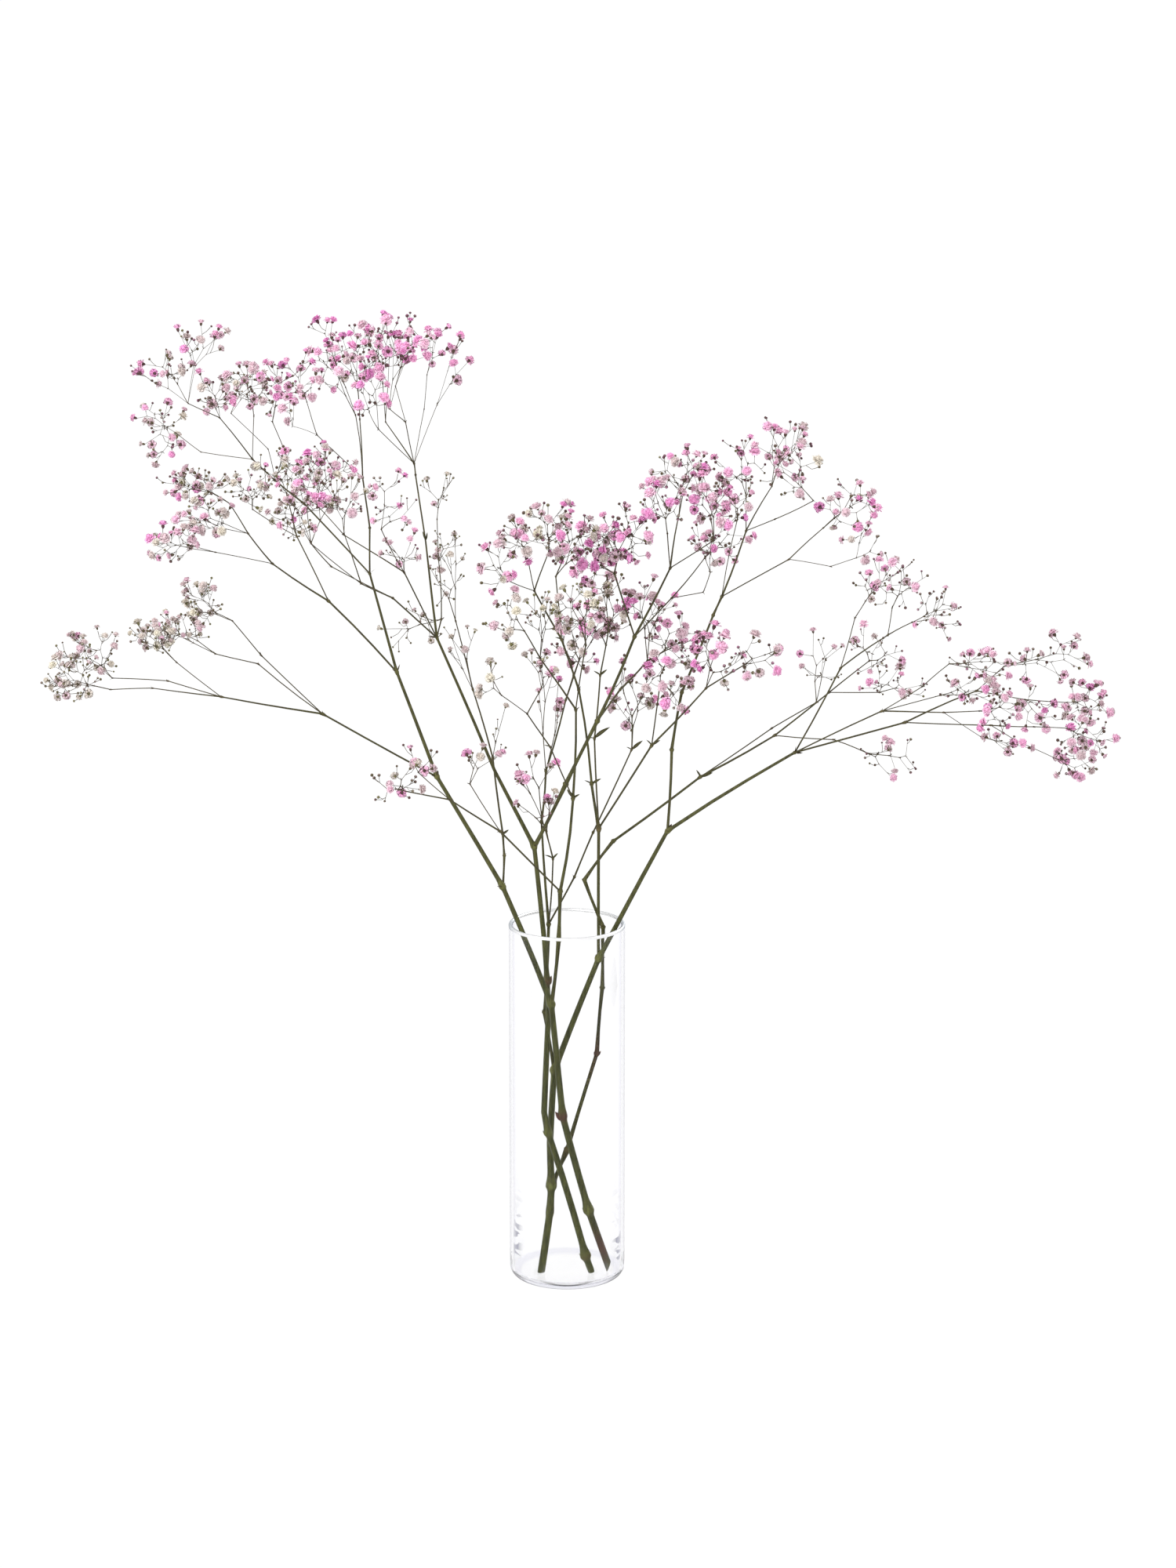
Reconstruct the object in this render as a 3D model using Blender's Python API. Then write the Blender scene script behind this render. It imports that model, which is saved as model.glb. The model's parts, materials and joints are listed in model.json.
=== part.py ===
"""Three cut stems of dried gypsophila standing in a clear glass cylinder vase.

The vase is a turned glass with a rounded heel and a thick floor. Each stem forks again and
again into sprays. The forks were read by eye from the photograph, and the fine twigs that end
in blooms and buds are grown between them by one seeded rule. Sizes here are in millimetres
and become metres in the meshes.
"""
import math
import random

import bmesh
import bpy
import numpy as np
from mathutils import Vector

MM = 0.001

# Vase: an 80 by 254 mm cylinder
VASE_RADIUS = 40.0
VASE_HEIGHT = 254.0
WALL = 2.5
FLOOR = 6.0
HEEL = 8.0
INNER_HEEL = 1.5
VASE_SIDES = 32

# Clearance that separate pieces keep
GAP = 0.3
TWIG_CLEARANCE = 0.6

# Stem girth: radius = GIRTH * (blooms carried) ** GIRTH_POWER * exp(-(run / FADE) ** FADE_POWER), where
# run is the way along the stem from its foot. The rule fits the stems of the photograph, which are
# 4.6 mm thick at the foot and 1 mm in the upper sprays.
GIRTH = 0.5
GIRTH_POWER = 0.27
FADE = 530.0
FADE_POWER = 1.5
THINNEST = 0.42
KNUCKLE = 1.5
KNUCKLE_REACH = 2.8
COLLAR = 1.05
SMALL_KNUCKLE = 1.25
TIP_REACH = 0.8
TIP_TAPER = 0.55
SOCKET = 9.0
SOCKET_SHARE = 0.4
STUB_FLARE = 1.1
SINK = 0.17
SINK_STEP = 0.13
STEM_SIDES = 6
BRANCH_SIDES = 4
TWIG_SIDES = 3

# Growth of the twigs: how far a fork goes towards what it carries, and how much it strays
STEP_LEAST = 0.42
STEP_MOST = 0.6
STRAY = 0.05

# Blooms and buds; KEEP_SHARE is the share of the plant's blooms that these solids carry
PETALS = 5
BLOOM_RADIUS = 4.2
NOTCH_RADIUS = 2.1
PETAL_LIFT = 2.2
NOTCH_LIFT = 1.4
BLOOM_HEIGHT = 3.4
BUD_RADIUS = 1.5
BUD_HALF = 1.7
KEEP_SHARE = 0.19
SEED = 1
BUD_EVERY = 3
TRIALS = 10
SPREAD = 0.33

# The photograph was taken from this eye, looking 13.8 degrees down. A route point is written as
# millimetres across and up on the plane that faces the eye through the middle of the vase's
# foot, and as its depth behind that foot.
EYE = Vector((14.5, -3220.2, 1143.1))
UP_IN_VIEW = Vector((0.0, 0.2385, 0.9711))

# Routes: name, what it grows from, across, up, depth
ROUTES = {
    "left_stem": [
        ("cut", "", 30, 1, -13), ("low", "cut", 15, 44, -17), ("mid", "low", -3, 110, -17),
        ("fork1", "mid", -11, 188, -14), ("fork2", "fork1", -45, 270, -4),
        ("fork3", "fork2", -91, 347, 10), ("fork4", "fork3", -119, 420, 20),
        ("fork5", "fork4", -138, 489, 35)],
    "middle_stem": [
        ("cut", "", 17, 1, -16), ("low", "cut", 13, 12, -17), ("kink", "low", -13, 98, -10),
        ("bend", "kink", -16, 113, -8), ("mid", "bend", -13, 183, -2), ("rim", "mid", -16, 233, 4),
        ("fork1", "rim", -23, 298, 12), ("knee", "fork1", -51, 352, 0),
        ("fork2", "knee", -91, 444, -20), ("leaf", "fork2", -99, 512, -5),
        ("end", "leaf", -106, 558, 8)],
    "right_stem": [
        ("cut", "", -18, 1, -15), ("low", "cut", -12, 43, -9), ("fork1", "low", -11, 61, -5),
        ("mid", "fork1", -12, 92, 2), ("fork2", "mid", -9, 142, 10), ("fork3", "fork2", 22, 220, 6),
        ("fork4", "fork3", 70, 309, -25), ("fork5", "fork4", 159, 364, -50)],
    "far_left_spray": [
        ("a", "left_stem.fork3", -171, 391, -30), ("b", "a", -242, 403, -60),
        ("c", "a", -216, 426, -10), ("d", "a", -214, 432, -48), ("e", "b", -290, 409, -75),
        ("f", "b", -279, 414, -50), ("g", "b", -273, 427, -35), ("h", "c", -246, 433, 5),
        ("i", "d", -234, 456, -60), ("j", "e", -319, 408, -85), ("k", "f", -318, 416, -55)],
    "left_spray": [
        ("a", "left_stem.fork4", -167, 470, 5), ("b", "a", -206, 496, -15), ("c", "a", -189, 515, 30),
        ("d", "b", -223, 517, -20), ("e", "b", -246, 504, -50), ("f", "d", -236, 538, -5),
        ("g", "c", -220, 534, 50), ("h", "c", -196, 544, 25)],
    "upper_left_spray": [
        ("a", "left_stem.fork5", -184, 538, 60), ("b", "a", -204, 554, 65), ("c", "b", -220, 569, 60),
        ("d", "c", -243, 598, 40), ("e", "d", -265, 608, 30), ("f", "c", -256, 574, 95),
        ("g", "f", -273, 587, 110), ("h", "c", -219, 599, 85), ("i", "b", -209, 576, 30),
        ("j", "i", -235, 601, 5), ("k", "b", -198, 576, 55), ("l", "k", -206, 595, 50)],
    "top_left_spray": [
        ("a", "left_stem.fork5", -138, 521, 30), ("b", "a", -143, 556, 25), ("c", "b", -148, 600, 5),
        ("d", "b", -145, 597, 50), ("e", "b", -175, 586, -20), ("f", "e", -182, 609, -35),
        ("g", "e", -192, 592, 5)],
    "inner_left_spray": [
        ("a", "left_stem.fork2", -44, 292, 5), ("b", "a", -45, 307, 10), ("c", "b", -52, 360, 25),
        ("d", "c", -66, 408, 40), ("e", "d", -78, 456, 50)],
    "front_spray": [
        ("a", "left_stem.fork1", -6, 233, -16), ("b", "a", -5, 267, -20), ("c", "b", 4, 332, -35),
        ("d", "c", 6, 394, -55), ("e", "c", -12, 368, -55), ("f", "e", -28, 391, -75),
        ("g", "f", -46, 404, -90), ("h", "f", -18, 409, -80), ("i", "d", -19, 430, -80),
        ("j", "i", -30, 449, -90), ("k", "d", 13, 439, -65)],
    "low_left_spray": [
        ("a", "front_spray.b", -47, 309, -40), ("b", "a", -82, 331, -60), ("c", "b", -118, 338, -75),
        ("d", "b", -104, 350, -50), ("e", "a", -68, 342, -25)],
    "top_spray": [
        ("hub", "middle_stem.end", -107, 566, 10), ("a", "hub", -132, 590, -25),
        ("b", "hub", -127, 595, 20), ("c", "hub", -113, 595, -5), ("d", "c", -124, 604, -20),
        ("e", "c", -120, 620, 10), ("f", "hub", -100, 604, 35), ("g", "f", -98, 628, 40),
        ("h", "hub", -91, 607, 65)],
    "mid_left_spray": [
        ("a", "middle_stem.fork2", -122, 472, -45), ("b", "a", -144, 482, -60),
        ("c", "b", -156, 517, -70), ("d", "b", -179, 510, -95), ("e", "a", -165, 494, -40),
        ("f", "e", -179, 510, -50)],
    "inner_mid_spray": [
        ("a", "middle_stem.fork2", -114, 490, -50), ("b", "a", -130, 520, -65),
        ("c", "a", -156, 516, -25), ("d", "c", -175, 537, -15)],
    "middle_side_spray": [
        ("a", "middle_stem.fork2", -88, 457, -5), ("b", "a", -90, 499, 15), ("c", "b", -91, 527, 20)],
    "centre_right_spray": [
        ("a", "middle_stem.fork1", -1, 342, 22), ("b", "a", 21, 386, 25), ("c", "b", 47, 445, 30),
        ("d", "c", 72, 493, 25), ("e", "c", 73, 472, 60), ("f", "d", 70, 517, 0),
        ("g", "d", 78, 530, 35), ("h", "d", 102, 512, 20), ("i", "e", 96, 500, 80),
        ("j", "e", 95, 476, 50), ("k", "j", 100, 490, 70), ("l", "b", 37, 408, 55),
        ("m", "l", 56, 428, 80)],
    "centre_spray": [
        ("a", "centre_right_spray.c", 33, 489, 5)],
    "tall_spray": [
        ("a", "right_stem.fork3", 22, 311, 18), ("b", "a", 17, 342, -8), ("c", "b", 8, 408, -25),
        ("d", "c", -4, 443, -32), ("e", "d", -23, 477, -50), ("f", "e", -41, 484, -75),
        ("g", "e", -28, 502, -60), ("h", "e", -13, 504, -40), ("i", "d", -5, 458, -30),
        ("j", "i", -8, 487, -15), ("k", "a", 19, 374, 45), ("l", "k", 23, 418, 55)],
    "right_low_spray": [
        ("a", "tall_spray.a", 59, 369, -30), ("b", "a", 97, 409, -60), ("c", "b", 125, 426, -70),
        ("d", "a", 65, 413, -30)],
    "back_spray": [
        ("a", "right_stem.fork2", -16, 183, 16), ("b", "a", -13, 244, 22), ("c", "b", -18, 316, 34),
        ("d", "c", -15, 351, 42), ("e", "d", -1, 401, 60), ("f", "b", 5, 277, 38),
        ("g", "f", 18, 308, 52), ("h", "g", 45, 366, 78), ("i", "b", -10, 290, 0)],
    "long_right_spray": [
        ("a", "right_stem.fork1", 0, 87, 8), ("b", "a", 21, 154, 20), ("c", "b", 25, 200, 22),
        ("d", "c", 25, 242, 20), ("e", "d", 12, 275, 28), ("f", "e", 32, 302, 36),
        ("g", "f", 93, 347, 50), ("h", "g", 143, 381, 75), ("i", "g", 145, 376, 45),
        ("j", "h", 174, 399, 95), ("k", "i", 183, 406, 70), ("l", "k", 211, 428, 65),
        ("m", "k", 218, 406, 85), ("n", "i", 186, 373, 25), ("o", "n", 211, 363, 20)],
    "upper_right_spray": [
        ("a", "right_stem.fork4", 73, 366, -20), ("b", "a", 80, 406, -15), ("c", "b", 102, 460, -8),
        ("d", "c", 108, 473, -5), ("e", "d", 155, 499, -30), ("f", "e", 179, 521, -48),
        ("g", "e", 184, 494, -12), ("h", "g", 202, 500, 0), ("i", "d", 125, 519, 15),
        ("j", "i", 145, 527, 5), ("k", "j", 172, 540, -5), ("l", "i", 125, 543, 30),
        ("m", "i", 143, 550, 50), ("n", "d", 119, 527, -25)],
    "right_upper_spray": [
        ("a", "right_stem.fork5", 191, 423, -40), ("b", "a", 224, 446, -60), ("c", "b", 241, 455, -70),
        ("d", "a", 201, 458, -10), ("e", "b", 227, 465, -40)],
    "right_mid_spray": [
        ("a", "right_stem.fork5", 220, 393, -80), ("b", "a", 248, 410, -100),
        ("c", "b", 267, 426, -108), ("d", "a", 261, 404, -68), ("e", "a", 263, 392, -90),
        ("f", "e", 288, 393, -95), ("g", "e", 289, 375, -80)],
    "far_right_spray": [
        ("a", "right_stem.fork5", 236, 385, -20), ("b", "a", 286, 407, 0), ("c", "b", 305, 424, 15),
        ("d", "b", 320, 401, 25), ("e", "a", 296, 383, -15), ("f", "e", 326, 382, -18),
        ("g", "e", 314, 372, 10), ("h", "g", 343, 359, 28), ("i", "d", 349, 399, 30),
        ("j", "f", 349, 381, -10)],
}

# Clouds of blooms: fork that carries it, centre across, up and depth, half sizes across, up and deep, count
CLOUDS = {
    "far_left_spray": [
        ("j", -346, 414, -92, 21, 13, 22, 16), ("k", -335, 432, -55, 23, 14, 25, 16),
        ("g", -292, 445, -35, 18, 11, 20, 12), ("h", -273, 450, 10, 18, 13, 22, 14),
        ("i", -255, 469, -62, 15, 15, 20, 12)],
    "left_spray": [
        ("e", -276, 510, -62, 16, 14, 25, 14), ("d", -255, 527, -35, 19, 13, 25, 14),
        ("f", -261, 549, -5, 23, 14, 28, 22), ("g", -220, 549, 65, 16, 15, 25, 12),
        ("h", -200, 562, 25, 18, 16, 25, 14), ("c", -193, 531, 50, 15, 20, 22, 12)],
    "upper_left_spray": [
        ("g", -286, 589, 122, 19, 22, 28, 16), ("e", -284, 632, 60, 23, 12, 28, 14),
        ("e", -255, 653, 45, 20, 13, 24, 9), ("d", -246, 613, 35, 15, 13, 25, 14),
        ("h", -222, 620, 92, 16, 16, 25, 14), ("j", -222, 625, 5, 18, 14, 22, 10),
        ("l", -204, 618, 48, 16, 19, 25, 14)],
    "top_left_spray": [
        ("f", -187, 626, -45, 14, 19, 22, 12), ("c", -167, 643, -15, 19, 26, 26, 22),
        ("d", -145, 644, 62, 21, 24, 28, 26), ("g", -193, 605, 8, 10, 10, 15, 4)],
    "inner_left_spray": [
        ("e", -83, 494, 60, 14, 25, 24, 8), ("d", -74, 445, 30, 14, 22, 22, 5),
        ("c", -46, 380, 20, 11, 19, 18, 3)],
    "front_spray": [
        ("g", -56, 418, -98, 15, 15, 22, 4), ("h", -18, 430, -90, 14, 14, 20, 5),
        ("j", -41, 457, -98, 16, 20, 24, 10), ("k", 10, 463, -72, 19, 20, 24, 16),
        ("i", -18, 457, -85, 13, 19, 20, 8)],
    "low_left_spray": [
        ("c", -118, 341, -80, 19, 16, 22, 8), ("d", -98, 359, -42, 16, 10, 20, 4),
        ("e", -62, 363, -17, 19, 14, 18, 4)],
    "top_spray": [
        ("a", -139, 620, -42, 15, 21, 24, 12), ("b", -129, 649, 22, 19, 22, 26, 22),
        ("d", -114, 654, -40, 19, 19, 22, 12), ("e", -112, 649, 15, 16, 16, 22, 10),
        ("g", -94, 649, 55, 15, 18, 22, 8), ("h", -78, 644, 80, 11, 24, 20, 6)],
    "mid_left_spray": [
        ("c", -155, 541, -82, 19, 15, 24, 12), ("d", -189, 535, -110, 18, 21, 24, 12),
        ("f", -173, 550, -60, 22, 20, 22, 18)],
    "inner_mid_spray": [
        ("b", -122, 539, -78, 22, 22, 24, 10), ("d", -166, 566, -10, 19, 14, 20, 14),
        ("a", -117, 506, -60, 20, 16, 20, 6)],
    "middle_side_spray": [
        ("c", -91, 549, 30, 15, 20, 20, 7), ("b", -84, 506, 20, 14, 14, 20, 6),
        ("a", -112, 452, 10, 23, 20, 20, 8)],
    "centre_right_spray": [
        ("f", 65, 539, -18, 18, 16, 26, 16), ("g", 81, 561, 42, 21, 21, 28, 20),
        ("h", 99, 544, 15, 19, 20, 26, 16), ("i", 110, 512, 100, 19, 19, 26, 12),
        ("k", 99, 512, 62, 14, 16, 20, 8), ("m", 76, 441, 100, 24, 19, 30, 20),
        ("m", 58, 468, 85, 19, 19, 26, 14)],
    "centre_spray": [
        ("a", 36, 517, 0, 22, 21, 30, 26), ("a", 20, 500, 30, 19, 20, 26, 16)],
    "tall_spray": [
        ("f", -48, 494, -92, 14, 20, 22, 9), ("g", -33, 516, -72, 16, 16, 22, 10),
        ("h", -13, 521, -48, 19, 18, 24, 16), ("j", 4, 511, -14, 19, 20, 26, 20),
        ("l", 28, 465, 62, 22, 26, 28, 22)],
    "right_low_spray": [
        ("c", 134, 431, -78, 23, 18, 24, 10), ("b", 103, 431, -64, 20, 19, 22, 12),
        ("d", 72, 412, -34, 21, 24, 22, 12)],
    "back_spray": [
        ("e", 10, 445, 76, 22, 24, 30, 18), ("h", 48, 408, 92, 20, 28, 26, 12),
        ("i", -23, 339, -6, 18, 24, 16, 9), ("d", -10, 408, 50, 12, 24, 18, 6)],
    "long_right_spray": [
        ("j", 173, 429, 112, 23, 20, 26, 10), ("l", 213, 434, 62, 22, 19, 24, 12),
        ("m", 228, 410, 98, 24, 16, 24, 12), ("o", 229, 359, 15, 22, 15, 22, 10)],
    "upper_right_spray": [
        ("f", 195, 539, -62, 22, 19, 26, 16), ("h", 211, 513, 2, 12, 19, 18, 6),
        ("k", 157, 562, -8, 20, 19, 24, 14), ("l", 121, 566, 38, 19, 19, 26, 14),
        ("m", 152, 583, 66, 20, 21, 26, 18), ("n", 116, 539, -38, 18, 19, 22, 10)],
    "right_upper_spray": [
        ("c", 259, 461, -82, 16, 19, 24, 14), ("e", 235, 480, -45, 18, 18, 24, 12),
        ("d", 218, 486, -2, 19, 16, 22, 12)],
    "right_mid_spray": [
        ("c", 290, 425, -120, 22, 13, 24, 12), ("d", 283, 408, -66, 19, 12, 22, 10),
        ("f", 301, 394, -98, 16, 13, 20, 12), ("g", 307, 369, -82, 16, 11, 18, 6)],
    "far_right_spray": [
        ("c", 338, 429, 32, 31, 18, 26, 14), ("i", 366, 398, 38, 19, 15, 24, 16),
        ("j", 364, 376, -14, 20, 16, 24, 16), ("h", 355, 357, 38, 19, 11, 22, 12),
        ("d", 328, 394, 22, 20, 15, 22, 10)],
}

# Pairs of small pointed leaves: fork, length, width
LEAF_HALF = 0.4
LEAF_BELLY = 0.4
LEAVES = [
    ("long_right_spray.g", 9.0, 2.2), ("tall_spray.b", 7.0, 2.0), ("back_spray.i", 7.0, 2.0),
    ("inner_left_spray.b", 5.0, 1.8), ("tall_spray.l", 6.0, 2.0), ("middle_stem.leaf", 5.0, 1.8),
]


class Fork:
    """A point where a stem or twig bends, forks or ends."""

    def __init__(self, node, at, parent=None, kind="route", rank=0.0):
        self.node = node
        self.at = at
        self.parent = parent
        self.kind = kind
        self.rank = rank
        self.children = []
        self.load = 0
        self.run = 0.0
        if parent:
            self.run = parent.run + (at - parent.at).length
            parent.children.append(self)

    def girth(self):
        """The radius at this point, more for many blooms and less far up the stem."""
        fade = math.exp(-(self.run / FADE) ** FADE_POWER)
        return max(THINNEST, GIRTH * self.load ** GIRTH_POWER * fade)

    def own(self):
        """The children that belong to the same node."""
        return [child for child in self.children if child.node == self.node]


def place(across, up, depth):
    """The point at this depth on the line of sight through a point of the picture plane."""
    ray = Vector((across, 0, 0)) + UP_IN_VIEW * up - EYE
    return EYE + ray * ((depth - EYE.y) / ray.y)


def read_routes():
    """Every fork of the hand-read routes, by its full name."""
    forks = {}
    for node, rows in ROUTES.items():
        for name, parent, across, up, depth in rows:
            key = parent if "." in parent else f"{node}.{parent}"
            forks[f"{node}.{name}"] = Fork(node, place(across, up, depth), forks.get(key))
    return forks


def scatter(draw, cloud):
    """Points spread evenly in a cloud: of several draws, each point is the one farthest from the rest."""
    _, across, up, depth, wide, high, deep, count = cloud
    points = []
    while len(points) < count:
        trials = []
        for _ in range(TRIALS):
            way = Vector((draw.gauss(0, 1), draw.gauss(0, 1), draw.gauss(0, 1))).normalized()
            way *= draw.random() ** SPREAD
            trials.append(place(across + way.x * wide, up + way.y * high, depth + way.z * deep))
        points.append(max(trials, key=lambda p: min([(p - q).length for q in points], default=0)))
    return points


def halves(targets):
    """The targets in two groups, parted across the direction in which they spread most."""
    spots = np.array([tuple(point) for _, point in targets])
    _, axes = np.linalg.eigh(np.cov((spots - spots.mean(axis=0)).T))
    order = np.argsort(spots @ axes[:, -1])
    middle = len(targets) // 2
    return [[targets[i] for i in order[:middle]], [targets[i] for i in order[middle:]]]


def grow(fork, targets, draw):
    """Fork the twig towards the middle of each half of its targets until each ends in one bloom."""
    for half in halves(targets):
        if len(half) == 1:
            rank, point = half[0]
            Fork(fork.node, point, fork, "bloom", rank)
            continue
        middle = sum((point for _, point in half), Vector()) / len(half)
        reach = (middle - fork.at) * draw.uniform(STEP_LEAST, STEP_MOST)
        sway = Vector((draw.gauss(0, 1), draw.gauss(0, 1), draw.gauss(0, 1))) * reach.length * STRAY
        grow(Fork(fork.node, fork.at + reach + sway, fork, "twig"), half, draw)


def grow_all(forks):
    """Grow every cloud from its fork."""
    for node, clouds in CLOUDS.items():
        draw = random.Random(f"{node} {SEED}")
        for cloud in clouds:
            points = scatter(draw, cloud)
            targets = [(i / len(points), point) for i, point in enumerate(points)]
            grow(forks[f"{node}.{cloud[0]}"], targets, draw)


def weigh(fork):
    """Count the blooms that each fork carries."""
    fork.load = sum(weigh(child) for child in fork.children) + (fork.kind == "bloom")
    return fork.load


def nearest(p, q, r, s):
    """The shortest distance between the segments p-q and r-s."""
    u, v, w = q - p, s - r, p - r
    a, b, c, d, e = u.dot(u), u.dot(v), v.dot(v), u.dot(w), v.dot(w)
    spread = a * c - b * b
    along = 0.0 if spread < 1e-9 else min(1.0, max(0.0, (b * e - c * d) / spread))
    other = min(1.0, max(0.0, (b * along + e) / c))
    along = min(1.0, max(0.0, (b * other - d) / a))
    return (w + u * along - v * other).length


class Space:
    """The room that each node has taken, as rods with a radius."""

    def __init__(self):
        self.rods = []

    def take(self, node, start, end, radius):
        """Keep this rod's room for the node."""
        self.rods.append((node, start, end, radius))

    def is_free(self, node, start, end, radius):
        """Whether the rod stays clear of every other node."""
        middle = (start + end) / 2
        reach = (end - start).length / 2
        for owner, low, high, girth in self.rods:
            if owner == node:
                continue
            room = radius + girth + TWIG_CLEARANCE
            if (middle - (low + high) / 2).length > reach + (high - low).length / 2 + room:
                continue
            if nearest(start, end, low, high) < room:
                return False
        return True


def head_rod(end, toward):
    """The rod of room that a bloom takes: its middle line and radius."""
    way = (end.at - toward).normalized()
    return end.at - way * 1.5, end.at + way * 2.0, BLOOM_RADIUS


def thin_out(forks, space):
    """Keep the first blooms of each cloud, drop any that would meet another node, and join the twigs left."""
    for route in forks.values():
        twigs = [child for child in route.children if child.kind != "route"]
        route.children = [child for child in route.children if child.kind == "route"]
        for twig in twigs:
            short = simplify(twig)
            if short:
                settle(route, short, space)


def simplify(fork):
    """The twig with only the kept blooms, and no fork that has a single child."""
    if fork.kind == "bloom":
        return fork if fork.rank < KEEP_SHARE else None
    fork.children = [child for child in (simplify(child) for child in fork.children) if child]
    if len(fork.children) == 1:
        return fork.children[0]
    return fork if fork.children else None


def settle(parent, fork, space):
    """Hang a thinned twig on its parent where it and what it carries stay clear of other nodes."""
    if not space.is_free(fork.node, parent.at, fork.at, fork.girth()):
        return
    if fork.kind == "bloom":
        low, high, radius = head_rod(fork, parent.at)
        if not space.is_free(fork.node, low, high, radius):
            return
        space.take(fork.node, low, high, radius)
    space.take(fork.node, parent.at, fork.at, fork.girth())
    fork.parent = parent
    parent.children.append(fork)
    children = fork.children
    fork.children = []
    for child in children:
        settle(fork, child, space)


def rings(points, radii, sides):
    """Vertices of a tube: a ring of the given radius square to the path at each point."""
    verts = []
    across = None
    for i, (point, radius) in enumerate(zip(points, radii)):
        before = points[max(i - 1, 0)]
        after = points[min(i + 1, len(points) - 1)]
        along = (after - before).normalized()
        guess = across if across else (Vector((1, 0, 0)) if abs(along.x) < 0.8 else Vector((0, 1, 0)))
        across = (guess - along * guess.dot(along)).normalized()
        side = along.cross(across)
        for k in range(sides):
            turn = math.tau * k / sides
            verts.append(point + (across * math.cos(turn) + side * math.sin(turn)) * radius)
    return verts


def walls(count, sides):
    """Triangles between neighbouring rings of a tube."""
    faces = []
    for i in range(count - 1):
        for k in range(sides):
            a, b = i * sides + k, i * sides + (k + 1) % sides
            faces += [(a, b, b + sides), (a, b + sides, a + sides)]
    return faces


def cap(first, sides):
    """Triangles across one ring of a tube."""
    return [(first, first + k, first + k + 1) for k in range(1, sides - 1)]


def make_object(name, verts, faces, collection=None):
    """A mesh object in metres whose faces point out."""
    mesh = bpy.data.meshes.new(name)
    mesh.from_pydata([tuple(v * MM) for v in verts], [], faces)
    shape = bmesh.new()
    shape.from_mesh(mesh)
    bmesh.ops.recalc_face_normals(shape, faces=shape.faces)
    bmesh.ops.triangulate(shape, faces=shape.faces)
    shape.to_mesh(mesh)
    shape.free()
    piece = bpy.data.objects.new(name, mesh)
    (collection or bpy.context.scene.collection).objects.link(piece)
    return piece


def add_tube(bag, points, radii, sides):
    """A closed tube along a path."""
    count = len(points)
    faces = walls(count, sides) + cap(0, sides) + cap((count - 1) * sides, sides)
    return make_object("tube", rings(points, radii, sides), faces, bag)


def add_bloom(bag, points, radii):
    """A twig of three sides that opens into a star of notched petals."""
    verts = rings(points, radii, 3)
    neck = len(verts) - 3
    way = (points[-1] - points[-2]).normalized()
    across = (verts[neck] - points[-1]).normalized()
    side = way.cross(across)
    rim = len(verts)
    for k in range(2 * PETALS):
        turn = math.pi * k / PETALS
        radius, lift = (BLOOM_RADIUS, PETAL_LIFT) if k % 2 == 0 else (NOTCH_RADIUS, NOTCH_LIFT)
        verts.append(points[-1] + way * lift + (across * math.cos(turn) + side * math.sin(turn)) * radius)
    verts.append(points[-1] + way * BLOOM_HEIGHT)
    top = len(verts) - 1
    faces = walls(len(points), 3) + cap(0, 3)
    for k in range(2 * PETALS):
        after = (k + 1) % (2 * PETALS)
        here = neck + round(3 * k / (2 * PETALS)) % 3
        there = neck + round(3 * (k + 1) / (2 * PETALS)) % 3
        faces.append((rim + k, rim + after, top))
        faces.append((rim + k, rim + after, here))
        if here != there:
            faces.append((here, rim + after, there))
    return make_object("bloom", verts, faces, bag)


def add_bud(bag, points, radii):
    """A twig of three sides that ends in a small pointed bud."""
    way = (points[-1] - points[-2]).normalized()
    path = points + [points[-1] + way * BUD_HALF]
    verts = rings(path, radii + [BUD_RADIUS], 3)
    verts.append(path[-1] + way * BUD_HALF)
    top = len(verts) - 1
    faces = walls(len(path), 3) + cap(0, 3)
    faces += [(top - 3 + k, top - 3 + (k + 1) % 3, top) for k in range(3)]
    return make_object("bud", verts, faces, bag)


def add_leaf_pair(bag, fork, length, width):
    """Two pointed leaves that leave a fork on opposite sides, each a thin lens of four corners."""
    along = (fork.at - fork.parent.at).normalized()
    across = along.cross(Vector((0, 1, 0))).normalized()
    for hand in (-1, 1):
        way = (across * hand + along * 0.9).normalized()
        flat = way.cross(Vector((0, 1, 0))).normalized()
        face = way.cross(flat)
        middle = fork.at + way * length * LEAF_BELLY
        verts = [fork.at - way * 0.3, middle + flat * width / 2, middle + face * LEAF_HALF,
                 middle - flat * width / 2, middle - face * LEAF_HALF, fork.at + way * length]
        faces = [(0, k, k % 4 + 1) for k in range(1, 5)] + [(5, k, k % 4 + 1) for k in range(1, 5)]
        make_object("leaf", verts, faces, bag)


def rooted(parent, rank):
    """Where the side twig of this rank begins: sunk a little way back along what it grows from."""
    if not parent.parent:
        return parent.at
    back = (parent.parent.at - parent.at).normalized()
    return parent.at + back * (SINK + SINK_STEP * rank)


def heaviest(children):
    """The child that carries the most blooms, which the tube runs on into."""
    return max(children, key=lambda child: child.load) if children else None


def socket_end(fork, child):
    """Where the socket on a fork ends that points towards the first fork of another node."""
    reach = child.at - fork.at
    return fork.at + reach.normalized() * min(SOCKET, SOCKET_SHARE * reach.length)


def route_start(fork, first):
    """Where a route's tube begins: past the host's stub for a new spray, else in its parent."""
    if fork.node == first.node:
        return rooted(fork, fork.children.index(first))
    return socket_end(fork, first) + (first.at - fork.at).normalized() * GAP


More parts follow.
